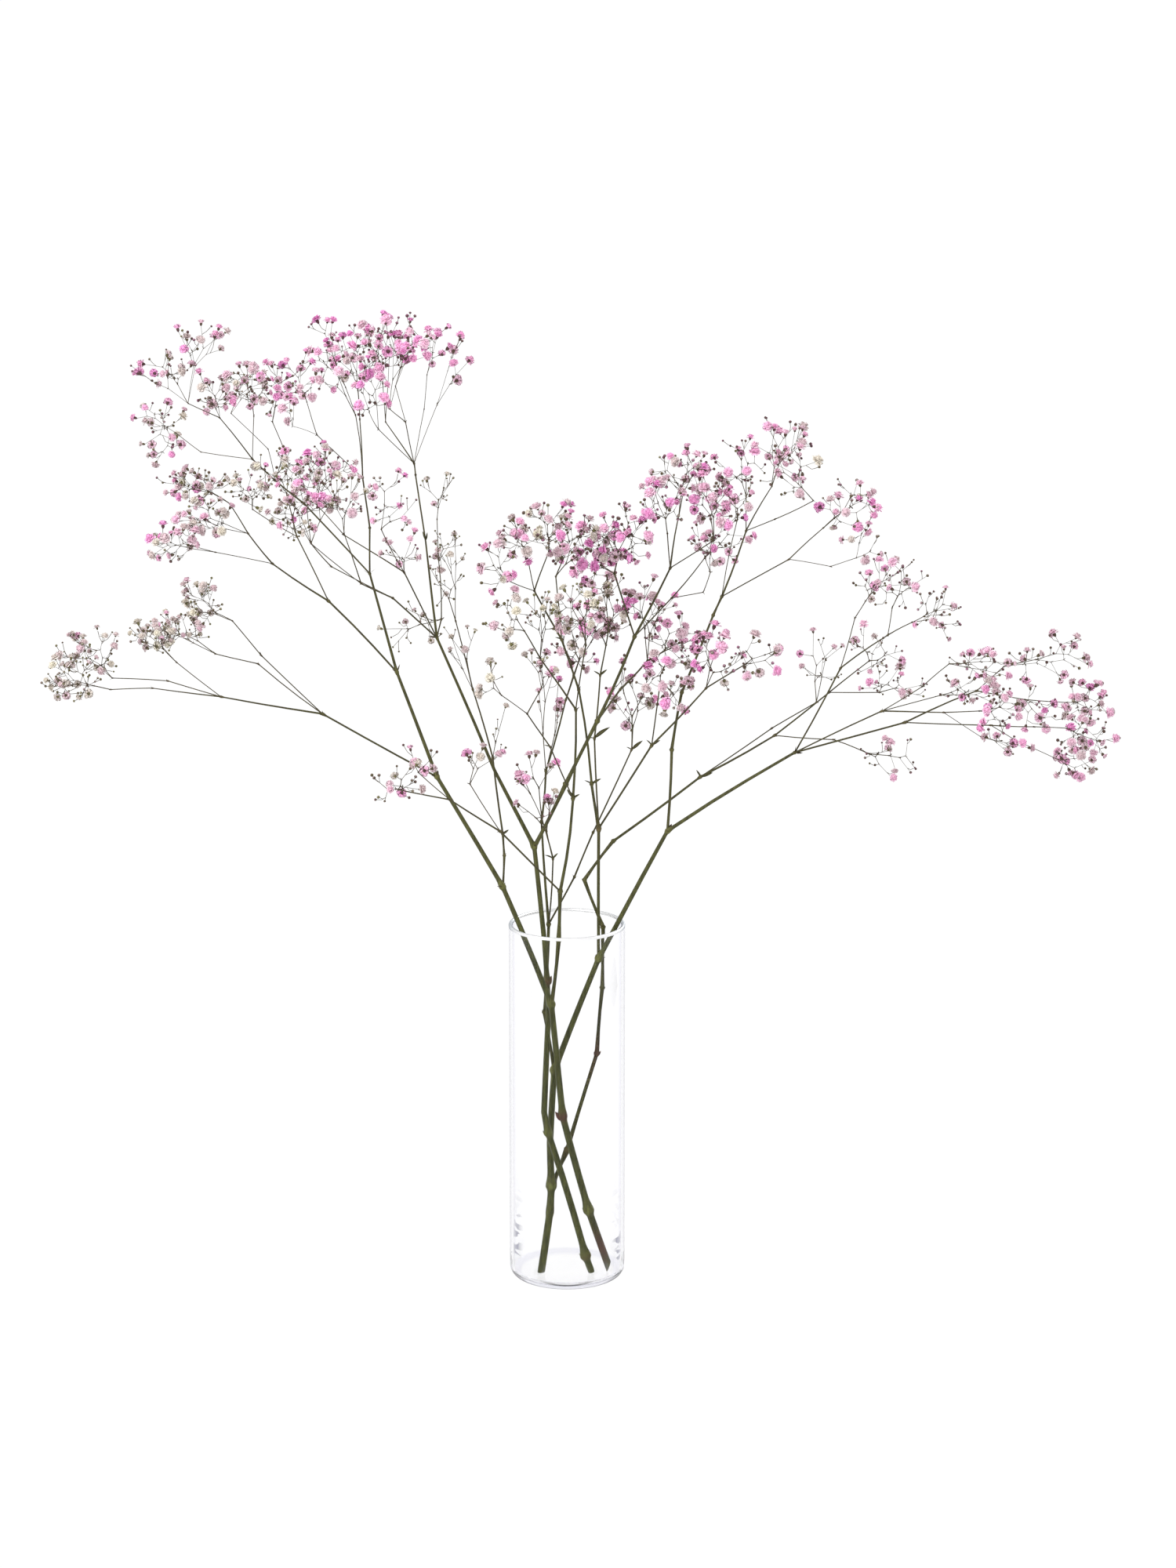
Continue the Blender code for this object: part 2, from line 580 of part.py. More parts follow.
def route_tubes(root):
    """The hand-read routes of one node as lists of forks, each running on into its heaviest child."""
    lines = []
    waiting = [(root.parent, root)]
    while waiting:
        parent, fork = waiting.pop()
        line = [fork]
        while True:
            routes = [child for child in line[-1].own() if child.kind == "route"]
            runs_on = heaviest(routes)
            if not runs_on:
                break
            waiting += [(line[-1], child) for child in routes if child is not runs_on]
            line.append(runs_on)
        lines.append((parent, line))
    return lines


def swell(points, radii, knuckles):
    """Add a ring before and after each knuckle, so that it bulges over a short reach."""
    path, girths = [points[0]], [radii[0]]
    for i in range(1, len(points)):
        before = points[i] - (points[i] - points[i - 1]).normalized() * KNUCKLE_REACH
        if knuckles[i]:
            path += [before, points[i]]
            girths += [radii[i] * COLLAR, radii[i] * KNUCKLE]
            if i + 1 < len(points):
                path.append(points[i] + (points[i + 1] - points[i]).normalized() * KNUCKLE_REACH)
                girths.append(radii[i + 1] * COLLAR)
        else:
            path.append(points[i])
            girths.append(radii[i])
    return path, girths


def add_route(bag, parent, line, sides):
    """One run of a stem or branch, with swollen knuckles where it forks."""
    start = route_start(parent, line[0]) if parent else line[0].at
    forks = line if parent else line[1:]
    points = [start] + [fork.at for fork in forks]
    radii = [forks[0].girth()] + [fork.girth() for fork in forks]
    is_stem = line[0].node.endswith("_stem")
    knuckles = [False] + [is_stem and len(fork.children) > 1 for fork in forks]
    if not is_stem:
        bulges = [SMALL_KNUCKLE if len(fork.children) > 1 else 1.0 for fork in forks]
        radii = [radii[0]] + [radius * bulge for radius, bulge in zip(radii[1:], bulges)]
    path, girths = swell(points, radii, knuckles)
    path.append(path[-1] + (path[-1] - path[-2]).normalized() * girths[-1] * TIP_REACH)
    girths.append(girths[-1] * TIP_TAPER)
    piece = add_tube(bag, path, girths, sides)
    if not parent:
        stand_on_floor(piece, sides)


def stand_on_floor(piece, sides):
    """Move the first ring of a cut stem along the stem's run onto the vase's floor."""
    for vertex in piece.data.vertices[:sides]:
        vertex.co.z = (FLOOR + GAP) * MM


def add_stubs(bag, fork):
    """Short sockets on a fork, one towards each spray of another node that grows from it."""
    for child in fork.children:
        if child.node == fork.node:
            continue
        radius = child.girth()
        sides = STEM_SIDES if fork.node.endswith("_stem") else BRANCH_SIDES
        add_tube(bag, [fork.at, socket_end(fork, child)], [radius * STUB_FLARE, radius], sides)


def twig_lines(fork):
    """The twigs above a route fork as lists of forks, each running on into its heaviest child."""
    lines = []
    waiting = [(fork, child) for child in fork.own() if child.kind != "route"]
    while waiting:
        parent, twig = waiting.pop()
        line = [twig]
        while line[-1].children:
            runs_on = heaviest(line[-1].children)
            waiting += [(line[-1], child) for child in line[-1].children if child is not runs_on]
            line.append(runs_on)
        lines.append((parent, line))
    return lines


def add_twig(bag, parent, line, is_bud):
    """One twig with the bloom or bud at its end."""
    points = [rooted(parent, parent.children.index(line[0]))] + [fork.at for fork in line]
    radii = [line[0].girth() * 0.9] + [fork.girth() for fork in line]
    if line[-1].kind != "bloom":
        return add_tube(bag, points, radii, TWIG_SIDES)
    if is_bud:
        return add_bud(bag, points, radii)
    return add_bloom(bag, points, radii)


def unite(name, bag):
    """One closed body of everything in the collection."""
    pieces = list(bag.objects)
    whole = pieces[0]
    bag.objects.unlink(whole)
    bpy.context.scene.collection.objects.link(whole)
    if len(pieces) > 1:
        join = whole.modifiers.new("join", "BOOLEAN")
        join.operation = "UNION"
        join.operand_type = "COLLECTION"
        join.collection = bag
        join.solver = "MANIFOLD"
    graph = bpy.context.evaluated_depsgraph_get()
    mesh = bpy.data.meshes.new_from_object(whole.evaluated_get(graph))
    mesh.name = name
    body = bpy.data.objects.new(name, mesh)
    bpy.context.scene.collection.objects.link(body)
    for piece in pieces:
        bpy.data.objects.remove(piece)
    bpy.data.collections.remove(bag)
    return body


def make_material(name, colour, roughness, transmission=0.0):
    """A Principled material."""
    material = bpy.data.materials.new(name)
    material.use_nodes = True
    shader = material.node_tree.nodes["Principled BSDF"]
    shader.inputs["Base Color"].default_value = (*colour, 1.0)
    shader.inputs["Roughness"].default_value = roughness
    shader.inputs["Metallic"].default_value = 0.0
    shader.inputs["Transmission Weight"].default_value = transmission
    return material


def vase_profile():
    """Radius and height from the middle of the foot, up the outside, over the rim and down to the floor."""
    profile = [(VASE_RADIUS - HEEL, 0.0)]
    for k in (1, 2, 3, 4):
        turn = math.pi / 2 * k / 4
        profile.append((VASE_RADIUS - HEEL + HEEL * math.sin(turn), HEEL - HEEL * math.cos(turn)))
    lip = WALL / 2
    for k in range(5):
        turn = math.pi * k / 4
        profile.append((VASE_RADIUS - lip + lip * math.cos(turn), VASE_HEIGHT - lip + lip * math.sin(turn)))
    inside = VASE_RADIUS - WALL
    for k in (0, 1, 2):
        turn = math.pi / 2 * k / 2
        radius = inside - INNER_HEEL + INNER_HEEL * math.cos(turn)
        profile.append((radius, FLOOR + INNER_HEEL - INNER_HEEL * math.sin(turn)))
    return profile


def build_vase():
    """The glass: the profile turned round the upright axis, with a flat foot and a flat floor."""
    profile = vase_profile()
    verts = []
    for radius, height in profile:
        for k in range(VASE_SIDES):
            turn = math.tau * k / VASE_SIDES
            verts.append(Vector((radius * math.cos(turn), radius * math.sin(turn), height)))
    faces = walls(len(profile), VASE_SIDES)
    foot, floor = len(verts), len(verts) + 1
    verts += [Vector((0, 0, 0)), Vector((0, 0, FLOOR))]
    last = (len(profile) - 1) * VASE_SIDES
    for k in range(VASE_SIDES):
        after = (k + 1) % VASE_SIDES
        faces += [(foot, k, after), (floor, last + k, last + after)]
    vase = make_object("glass_vase", verts, faces)
    vase.data.shade_smooth()
    vase.data.set_sharp_from_angle(angle=math.radians(40))
    vase.data.materials.append(make_material("clear_glass", (0.9, 0.92, 0.93), 0.02, 1.0))


def build_node(node, forks, material):
    """A stem or a spray: its routes, sockets, leaves, twigs, blooms and buds in one body."""
    routes = [fork for fork in forks.values() if fork.node == node]
    bag = bpy.data.collections.new(node)
    bpy.context.scene.collection.children.link(bag)
    sides = STEM_SIDES if node.endswith("_stem") else BRANCH_SIDES
    for parent, line in route_tubes(routes[0]):
        add_route(bag, parent, line, sides)
    count = 0
    for fork in routes:
        add_stubs(bag, fork)
        for parent, line in twig_lines(fork):
            count += 1
            add_twig(bag, parent, line, count % BUD_EVERY == 0)
    for name, length, width in LEAVES:
        if name.startswith(node + "."):
            add_leaf_pair(bag, forks[name], length, width)
    body = unite(node, bag)
    body.data.materials.clear()
    body.data.materials.append(material)
    triangles = len(body.data.loops) - 2 * len(body.data.polygons)
    print(node, "blooms", count, "triangles", triangles)
    return triangles


def main():
    """Clear the scene, grow the plant and build the vase."""
    for item in list(bpy.data.objects):
        bpy.data.objects.remove(item)
    forks = read_routes()
    grow_all(forks)
    for node in ROUTES:
        first = forks[f"{node}.{ROUTES[node][0][0]}"]
        if not first.parent:
            weigh(first)
    space = Space()
    for fork in forks.values():
        if fork.parent:
            start = fork.parent.at if fork.parent.node == fork.node else route_start(fork.parent, fork)
            space.take(fork.node, start, fork.at, fork.girth() * KNUCKLE)
        for child in fork.children:
            if child.node != fork.node:
                space.take(fork.node, fork.at, socket_end(fork, child), child.girth() * STUB_FLARE)
    thin_out(forks, space)
    build_vase()
    stem = make_material("stem_green", (0.11, 0.12, 0.05), 0.45)
    spray = make_material("dried_bloom", (0.62, 0.32, 0.45), 0.75)
    total = 0
    for node in ROUTES:
        total += build_node(node, forks, stem if node.endswith("_stem") else spray)
    print("triangles of the plant", total)


main()
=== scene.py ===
# %% [markdown]
# # A vase of dried gypsophila
#
# Three cut stems of gypsophila stand in a clear glass cylinder. Each stem forks again and again
# until it ends in hundreds of papery double blooms, 7 to 9 mm across, and round buds half that
# size. This file dresses the part: the simple solids of the part are replaced by full sprays,
# and each surface gets a finish worked out from nodes.
#
# The first step loads the part and hangs each of its solids on the body that it belongs to.

# %% Load the part
import json
import math
import random

import bpy
import numpy as np
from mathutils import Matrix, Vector

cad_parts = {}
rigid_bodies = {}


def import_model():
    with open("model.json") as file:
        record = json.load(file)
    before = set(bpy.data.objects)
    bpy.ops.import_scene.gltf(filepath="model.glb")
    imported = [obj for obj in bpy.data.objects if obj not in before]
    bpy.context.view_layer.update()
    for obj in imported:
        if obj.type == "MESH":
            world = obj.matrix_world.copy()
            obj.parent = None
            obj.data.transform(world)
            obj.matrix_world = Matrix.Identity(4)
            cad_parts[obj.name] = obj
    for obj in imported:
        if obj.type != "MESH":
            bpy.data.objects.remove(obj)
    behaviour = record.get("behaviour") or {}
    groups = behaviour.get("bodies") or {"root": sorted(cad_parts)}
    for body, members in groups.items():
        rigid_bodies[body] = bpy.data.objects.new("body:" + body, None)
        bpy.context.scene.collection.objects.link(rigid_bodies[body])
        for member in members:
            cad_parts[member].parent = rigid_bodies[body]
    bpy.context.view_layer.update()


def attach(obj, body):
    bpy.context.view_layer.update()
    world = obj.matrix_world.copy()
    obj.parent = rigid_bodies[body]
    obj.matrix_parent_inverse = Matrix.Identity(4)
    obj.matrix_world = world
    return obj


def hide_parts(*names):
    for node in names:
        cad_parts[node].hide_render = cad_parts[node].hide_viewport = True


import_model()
MM = 0.001

# %% [markdown]
# ## The eye and the light
#
# The photograph looks 13.8 degrees down at the vase from about 3.4 m away. The ellipses of the
# rim and the foot give that angle: the flatter the ellipse, the lower the eye. A camera could be
# aimed by a Track To constraint, but here the angle itself is known, so it is set directly. The
# eye's place is in millimetres, and UP_IN_VIEW is the picture's upward direction in space.

# %% Camera
EYE = Vector((14.5, -3220.2, 1143.1))
LOOK_DOWN = math.radians(13.8)
UP_IN_VIEW = Vector((0.0, 0.2385, 0.9711))
LENS = 111.7
SENSOR_WIDTH = 36.0
FARTHEST = 100.0

camera = bpy.data.objects.new("camera", bpy.data.cameras.new("camera"))
bpy.context.scene.collection.objects.link(camera)
camera.location = EYE * MM
camera.rotation_euler = (math.pi / 2 - LOOK_DOWN, 0.0, 0.0)
camera.data.lens = LENS
camera.data.sensor_width = SENSOR_WIDTH
camera.data.clip_end = FARTHEST
bpy.context.scene.camera = camera
print("camera", tuple(round(v, 3) for v in camera.location))

# %% [markdown]
# The background of the photograph is pure white with no shadow. The floor is a light table: it
# mirrors and scatters nearly nothing and gives off just enough light to be white. More light would
# spill over thin twigs and make them vanish, because a pixel that is half twig and half floor
# would still be white. The sky is plain white too. It lights the flowers a little less than it
# shows, so that it meets the floor without a line. Soft panels from the upper left and from behind
# give the stems their long highlights.

# %% Floor, sky and soft panels
FLOOR_HALF = 40.0
FLOOR_HEIGHT = -0.0005
FLOOR_COLOUR = (0.02, 0.02, 0.02, 1.0)
FLOOR_GLOW = 1.0
SKY_STRENGTH = 0.95
WHITE = (1.0, 1.0, 1.0, 1.0)
PANEL_SIZE = 1.2


def light_table():
    """A level square under the part, nearly black but glowing white."""
    mesh = bpy.data.meshes.new("floor")
    signs = ((-1, -1), (1, -1), (1, 1), (-1, 1))
    corners = [(x * FLOOR_HALF, y * FLOOR_HALF, FLOOR_HEIGHT) for x, y in signs]
    mesh.from_pydata(corners, [], [(0, 1, 2, 3)])
    finish = bpy.data.materials.new("light_table")
    finish.use_nodes = True
    shader = finish.node_tree.nodes["Principled BSDF"].inputs
    shader["Base Color"].default_value = FLOOR_COLOUR
    shader["Specular IOR Level"].default_value = 0.0
    shader["Emission Color"].default_value = WHITE
    shader["Emission Strength"].default_value = FLOOR_GLOW
    mesh.materials.append(finish)
    floor = bpy.data.objects.new("floor", mesh)
    bpy.context.scene.collection.objects.link(floor)


def white_sky():
    """A white world: its strength is SKY_STRENGTH as a light and FLOOR_GLOW where the camera sees it."""
    sky = bpy.data.worlds.new("white_sky")
    sky.use_nodes = True
    tree = sky.node_tree
    backdrop = tree.nodes["Background"]
    seen = tree.nodes.new("ShaderNodeLightPath")
    strength = tree.nodes.new("ShaderNodeMapRange")
    strength.inputs["To Min"].default_value = SKY_STRENGTH
    strength.inputs["To Max"].default_value = FLOOR_GLOW
    tree.links.new(seen.outputs["Is Camera Ray"], strength.inputs["Value"])
    tree.links.new(strength.outputs["Result"], backdrop.inputs["Strength"])
    backdrop.inputs["Color"].default_value = WHITE
    bpy.context.scene.world = sky


def soft_panel(name, stands_at, aims_at, power):
    """A square area light that looks at a point."""
    light = bpy.data.lights.new(name, "AREA")
    light.size = PANEL_SIZE
    light.energy = power
    lamp = bpy.data.objects.new(name, light)
    bpy.context.scene.collection.objects.link(lamp)
    lamp.location = stands_at
    lamp.rotation_euler = (Vector(aims_at) - Vector(stands_at)).to_track_quat("-Z", "Y").to_euler()


light_table()
white_sky()
soft_panel("key_panel", (-1.6, -2.0, 2.2), (0, 0, 0.4), 60.0)
soft_panel("rim_panel", (1.8, 1.4, 1.8), (0, 0, 0.45), 30.0)
bpy.context.scene.view_settings.view_transform = "Standard"
print("floor half side", FLOOR_HALF, "m, sky", SKY_STRENGTH)

# %% [markdown]
# ## Shader sums as Python
#
# A finish is easier to read as sums than as a web of nodes. The class below wraps one socket,
# and each operator adds the Math node that does the sum. Any other node comes from one method
# that takes the node's type, its settings and its sockets.


# %% Sockets that can be added and multiplied
class Value:
    """One output socket. Sums on it add Math nodes."""

    def __init__(self, paint, socket):
        self.paint = paint
        self.socket = socket

    def sum(self, kind, first, second=0.0):
        """A Math node of this kind."""
        return self.paint.node("ShaderNodeMath", {"operation": kind}, {0: first, 1: second})

    def __add__(self, other):
        return self.sum("ADD", self, other)

    def __mul__(self, other):
        return self.sum("MULTIPLY", self, other)

    def __sub__(self, other):
        return self.sum("SUBTRACT", self, other)

    def __rsub__(self, other):
        return self.sum("SUBTRACT", other, self)

    def __pow__(self, other):
        return self.sum("POWER", self, other)

    __radd__ = __add__
    __rmul__ = __mul__


print("sums on sockets ready")


# %% One material and its nodes
BUMP_STRENGTH = 0.4


class Paint:
    """A material with one Principled shader and the method that adds its nodes."""

    def __init__(self, name, **constants):
        self.material = bpy.data.materials.new(name)
        self.material.use_nodes = True
        self.tree = self.material.node_tree
        self.shader = self.tree.nodes["Principled BSDF"]
        for socket, value in constants.items():
            self.shader.inputs[socket.replace("_", " ")].default_value = value

    def pick(self, sockets, key):
        """The live socket with this name or number."""
        if isinstance(key, int):
            return sockets[key]
        return next(socket for socket in sockets if socket.name == key and socket.enabled)

    def node(self, kind, settings=None, sockets=None, out=None):
        """A node: its settings are set first, then the values or links of its sockets."""
        made = self.tree.nodes.new(kind)
        for key, value in (settings or {}).items():
            if key == "stops":
                self.set_stops(made.color_ramp, value)
            else:
                setattr(made, key, value)
        for key, value in (sockets or {}).items():
            self.give(self.pick(made.inputs, key), value)
        live = [socket for socket in made.outputs if socket.enabled]
        return Value(self, self.pick(live, out) if out else live[0])

    def give(self, socket, value):
        """Link a Value to the socket, or set a number or colour on it."""
        if isinstance(value, Value):
            self.tree.links.new(value.socket, socket)
        else:
            socket.default_value = value

    def set_stops(self, ramp, stops):
        """Colours along a ramp, as (place, colour) from left to right."""
        while len(ramp.elements) < len(stops):
            ramp.elements.new(0.5)
        for element, (spot, colour) in zip(ramp.elements, stops):
            element.position = spot
            element.color = (*colour, 1.0)

    def finish(self, **sockets):
        """Feed the shader."""
        for socket, value in sockets.items():
            self.give(self.shader.inputs[socket.replace("_", " ")], value)
        return self.material

    def mix_in(self, factor, second):
        """A Mix Shader from the first shader to a second one."""
        first = Value(self, self.shader.outputs[0])
        mixed = self.node("ShaderNodeMixShader", sockets={0: factor, 1: first, 2: second})
        self.tree.links.new(mixed.socket, self.tree.nodes["Material Output"].inputs["Surface"])
        return self.material

    def ramp(self, value, stops):
        """The colour at this place of a ramp."""
        return self.node("ShaderNodeValToRGB", {"stops": stops}, {"Fac": value}, "Color")

    def trait(self, name):
        """A number that the mesh keeps for each vertex."""
        return self.node("ShaderNodeAttribute", {"attribute_name": name}, out="Fac")

    def spots(self, scale, detail=2.0, mapping="POINT", **sockets):
        """Noise on the object's own coordinates, in spots per metre, stretched or turned by the sockets
        of a Mapping node."""
        where = self.node("ShaderNodeTexCoord", out="Object")
        where = self.node("ShaderNodeMapping", {"vector_type": mapping}, {"Vector": where, **sockets})
        noise = {"Vector": where, "Scale": scale, "Detail": detail}
        return self.node("ShaderNodeTexNoise", sockets=noise, out="Fac")

    def blend(self, mode, factor, low, high):
        """Two colours mixed."""
        settings = {"data_type": "RGBA", "blend_type": mode}
        return self.node("ShaderNodeMix", settings, {"Factor": factor, "A": low, "B": high}, "Result")

    def bump(self, height, distance):
        """A normal that rises and falls with a height, over this distance in metres."""
        sockets = {"Height": height, "Distance": distance, "Strength": BUMP_STRENGTH}
        return self.node("ShaderNodeBump", sockets=sockets)


print("shader helpers ready")

# %% [markdown]
# ## The finishes
#
# Dried gypsophila has a satin olive skin on its thick stems, which turns to a dull brown in the
# fine twigs. The knuckles are yellow green on thick stems and nearly black on fine ones, and a
# few old scars and the cut of one stem have turned red brown. Each twig mesh carries three
# numbers for each vertex: how thick the twig is there, how near a knuckle, and how much rust.


# %% Bark
STREAKS = 700.0
STREAK_STRETCH = (1.0, 1.0, 0.07)
PATCHES = 60.0
PATCHINESS = 0.3
KNUCKLE_TINT = 0.75
RUST = (0.105, 0.045, 0.036, 1.0)
STREAK_DEPTH = 0.00015


def bark_finish():
    """Olive to brown by thickness, other colours at knuckles and scars, and long fine streaks.
    Roughness = 0.6 - 0.22 thick + 0.1 streaks, so thick stems shine more."""
    paint = Paint("dried_bark", Metallic=0.0, Specular_IOR_Level=0.22)
    thick = paint.trait("thick")
    knuckle = paint.trait("knuckle")
    streaks = paint.spots(STREAKS, 3.0, Scale=STREAK_STRETCH)
    patches = paint.spots(PATCHES)
    base = paint.ramp(thick + (patches - 0.5) * PATCHINESS, [
        (0.0, (0.08, 0.056, 0.04)), (0.16, (0.06, 0.05, 0.026)), (0.4, (0.06, 0.058, 0.02)),
        (1.0, (0.072, 0.078, 0.023))])
    joint = paint.ramp(thick, [
        (0.1, (0.07, 0.042, 0.034)), (0.35, (0.095, 0.085, 0.03)), (0.8, (0.15, 0.155, 0.045))])
    skin = paint.blend("MIX", knuckle * KNUCKLE_TINT, base, joint)
    skin = paint.blend("MIX", paint.trait("rust"), skin, RUST)
    shade = paint.ramp(streaks, [(0.32, (0.62, 0.62, 0.62)), (0.68, (1.4, 1.4, 1.3))])
    colour = paint.blend("MULTIPLY", 1.0, skin, shade)
    return paint.finish(Base_Color=colour, Roughness=0.6 - thick * 0.22 + streaks * 0.1,
                        Normal=paint.bump(streaks, STREAK_DEPTH))


bark = bark_finish()
print("finish", bark.name)

# %% [markdown]
# A bloom's colour differs from bloom to bloom, from cream over blush and dusty mauve to bright
# orchid pink, and along each petal, from a deep throat to a thin pale edge. The deep throat is the
# petal's own colour with painted shade: the shade deep in the bloom and the dark calyx behind the
# petals. The mesh carries both: tint says which colour the bloom has, and edge runs from 0 at a
# petal's root to 1 at its tip. Calyx and bud scales are marked by green. Light shines through thin
# dry petals and fills the gaps between them. Subsurface scattering would do that too, but it greyed
# the colours, so the pale ends of the ramps carry that light as painted light.


# %% Petals, calyx and buds
# Throat colours: each tint's own colour darkened by painted shade deep in the bloom.
SHADED_THROAT_TINTS = [
    (0.0, (0.6, 0.54, 0.41)), (0.22, (0.54, 0.45, 0.41)), (0.42, (0.57, 0.36, 0.42)),
    (0.62, (0.75, 0.37, 0.54)), (0.82, (0.78, 0.24, 0.54)), (1.0, (0.62, 0.13, 0.44))]
# Edge colours: each tint's own colour lightened by painted light shining through the petal.
LIT_EDGE_TINTS = [
    (0.0, (0.88, 0.84, 0.75)), (0.22, (0.78, 0.72, 0.69)), (0.42, (0.82, 0.69, 0.72)),
    (0.62, (0.92, 0.74, 0.82)), (0.82, (0.98, 0.62, 0.82)), (1.0, (0.94, 0.46, 0.76))]
MOTTLE = 700.0
MOTTLE_DEPTH = 0.0002


def petal_finish():
    """Petals from a deep throat, darkened by painted shade, to a pale edge, lightened by painted light
    that shines through, and a dull green brown calyx. The share of the pale colour is
    edge ^ 1.1 (0.75 + 0.5 mottle), and the edges are a little less rough."""
    paint = Paint("papery_petal", Metallic=0.0, Specular_IOR_Level=0.25)
    tint = paint.trait("tint")
    edge = paint.trait("edge")
    green = paint.trait("green")
    mottle = paint.spots(MOTTLE, 3.0)
    # The throat colour carries painted shade and the edge colour carries painted light.
    deep = paint.ramp(tint, SHADED_THROAT_TINTS)
    lit_edge = paint.ramp(tint, LIT_EDGE_TINTS)
    petal = paint.blend("MIX", (edge ** 1.1) * (0.75 + mottle * 0.5), deep, lit_edge)
    scale = paint.ramp(tint + (mottle - 0.5) * 0.6, [
        (0.0, (0.15, 0.14, 0.057)), (0.3, (0.1, 0.082, 0.04)), (0.6, (0.082, 0.053, 0.037)),
        (1.0, (0.083, 0.035, 0.044))])
    return paint.finish(Base_Color=paint.blend("MIX", green, petal, scale), Roughness=0.78 - edge * 0.12,
                        Normal=paint.bump(mottle, MOTTLE_DEPTH))


petal_paint = petal_finish()
print("finish", petal_paint.name)


# %% [markdown]
# Clear glass needs hardly any pattern: its look comes from the shape of its two walls, its thick
# floor and what they bend. Where the eye grazes the wall it looks through nearly 30 mm of glass,
# which tints it a little and bends the darker room around into the outline, which is why the walls
# end in thin lilac grey lines. Here the room is white, so these lines are painted shade: the colour
# goes to lilac by a Layer Weight. In a white room the whole wall would mirror white over the stems
# like fog, so the walls get a shader with faint reflections. The rounded heel would trap light and
# turn black, so it gets a second shader that bends light less, and its outer part is painted lilac
# grey, as painted shade for the darker light that the real heel bends. A Mix Shader goes from one to
# the other by a number that the mesh carries. The fire polished lip mirrors the white room, so it is
# part metal.
# Just above the floor the inner wall of the real vase is wavy, and what the waves bend shows as
# slanting grey lilac strokes near the outline. The mesh is smooth, so the strokes are painted shade:
# a noise stretched along the stroke, let through only where the wall turns away from the eye.


# %% Clear glass
GLASS_IOR = 1.46
HEEL_IOR = 1.15
MIRROR_TINT = (0.1, 0.1, 0.11, 1.0)
# Lilac grey painted shade of the outer heel
HEEL_SHADE_TINT = (0.8, 0.8, 0.87, 1.0)
LIP_METAL = 0.9
LIP_ROUGHNESS = 0.45
STROKES = 230.0
STROKE_TILT = (-0.5, 0.0, 0.0)
STROKE_STRETCH = (7.0, 7.0, 1.0)
# Colour of the painted shade strokes near the foot of the glass
STROKE_SHADE_COLOUR = (0.08, 0.08, 0.14, 1.0)
BLACK_STOP = (0.0, 0.0, 0.0)
WHITE_STOP = (1.0, 1.0, 1.0)


def glass_finish():
    """Clear glass with painted lilac grey shade where the eye grazes it and in strokes near the foot,
    a bright lip, and a soft heel with painted lilac grey shade.
    """
    paint = Paint("clear_glass", Transmission_Weight=1.0, IOR=GLASS_IOR, Roughness=0.0,
                  Specular_Tint=MIRROR_TINT)
    grazing = paint.node("ShaderNodeLayerWeight", sockets={"Blend": 0.5}, out="Facing")
    lip = paint.trait("lip")
    # Lilac grey painted shade at the outline, for the darker room that the real wall bends and mirrors
    # there.
    shaded_wall = paint.ramp(grazing, [
        (0.0, WHITE_STOP), (0.68, (0.98, 0.98, 1.0)), (0.86, (0.68, 0.67, 0.78)), (1.0, (0.34, 0.33, 0.46))])
    edge = paint.ramp(grazing, [(0.5, (0.99, 0.995, 1.0)), (0.95, (0.87, 0.94, 1.0))])
    # Slanting strokes of painted shade near the outline, for what the real vase's wavy inner wall bends.
    painted_strokes = paint.spots(STROKES, 1.0, "TEXTURE", Rotation=STROKE_TILT, Scale=STROKE_STRETCH)
    painted_strokes = paint.ramp(painted_strokes, [(0.53, BLACK_STOP), (0.57, WHITE_STOP)])
    near_edge = paint.ramp(grazing, [(0.45, BLACK_STOP), (0.62, WHITE_STOP)])
    shaded_wall = paint.blend("MULTIPLY", painted_strokes * near_edge * paint.trait("wavy"), shaded_wall, STROKE_SHADE_COLOUR)
    paint.finish(Base_Color=paint.blend("MIX", lip, shaded_wall, edge), Metallic=lip * LIP_METAL,
                 Roughness=lip * LIP_ROUGHNESS)
    # Lilac grey painted shade on the outer heel, for the darker light that the real heel bends.
    heel_shaded = paint.blend("MIX", paint.trait("heel_tint"), WHITE, HEEL_SHADE_TINT)
    soft = paint.node("ShaderNodeBsdfPrincipled", sockets={
        "Base Color": heel_shaded, "Metallic": 0.0, "Transmission Weight": 1.0, "IOR": HEEL_IOR,
        "Roughness": 0.0})
    return paint.mix_in(paint.trait("heel"), soft)


glass = glass_finish()
print("finish", glass.name)

# %% [markdown]
# ## Meshes from arrays
#
# Every piece here is worked out with numpy and put into its mesh in one go with foreach_set. A
# growing list of parts, here called a sheaf, gathers the vertices, triangles and vertex numbers
# of hundreds of small shapes, so that a whole spray becomes one mesh.


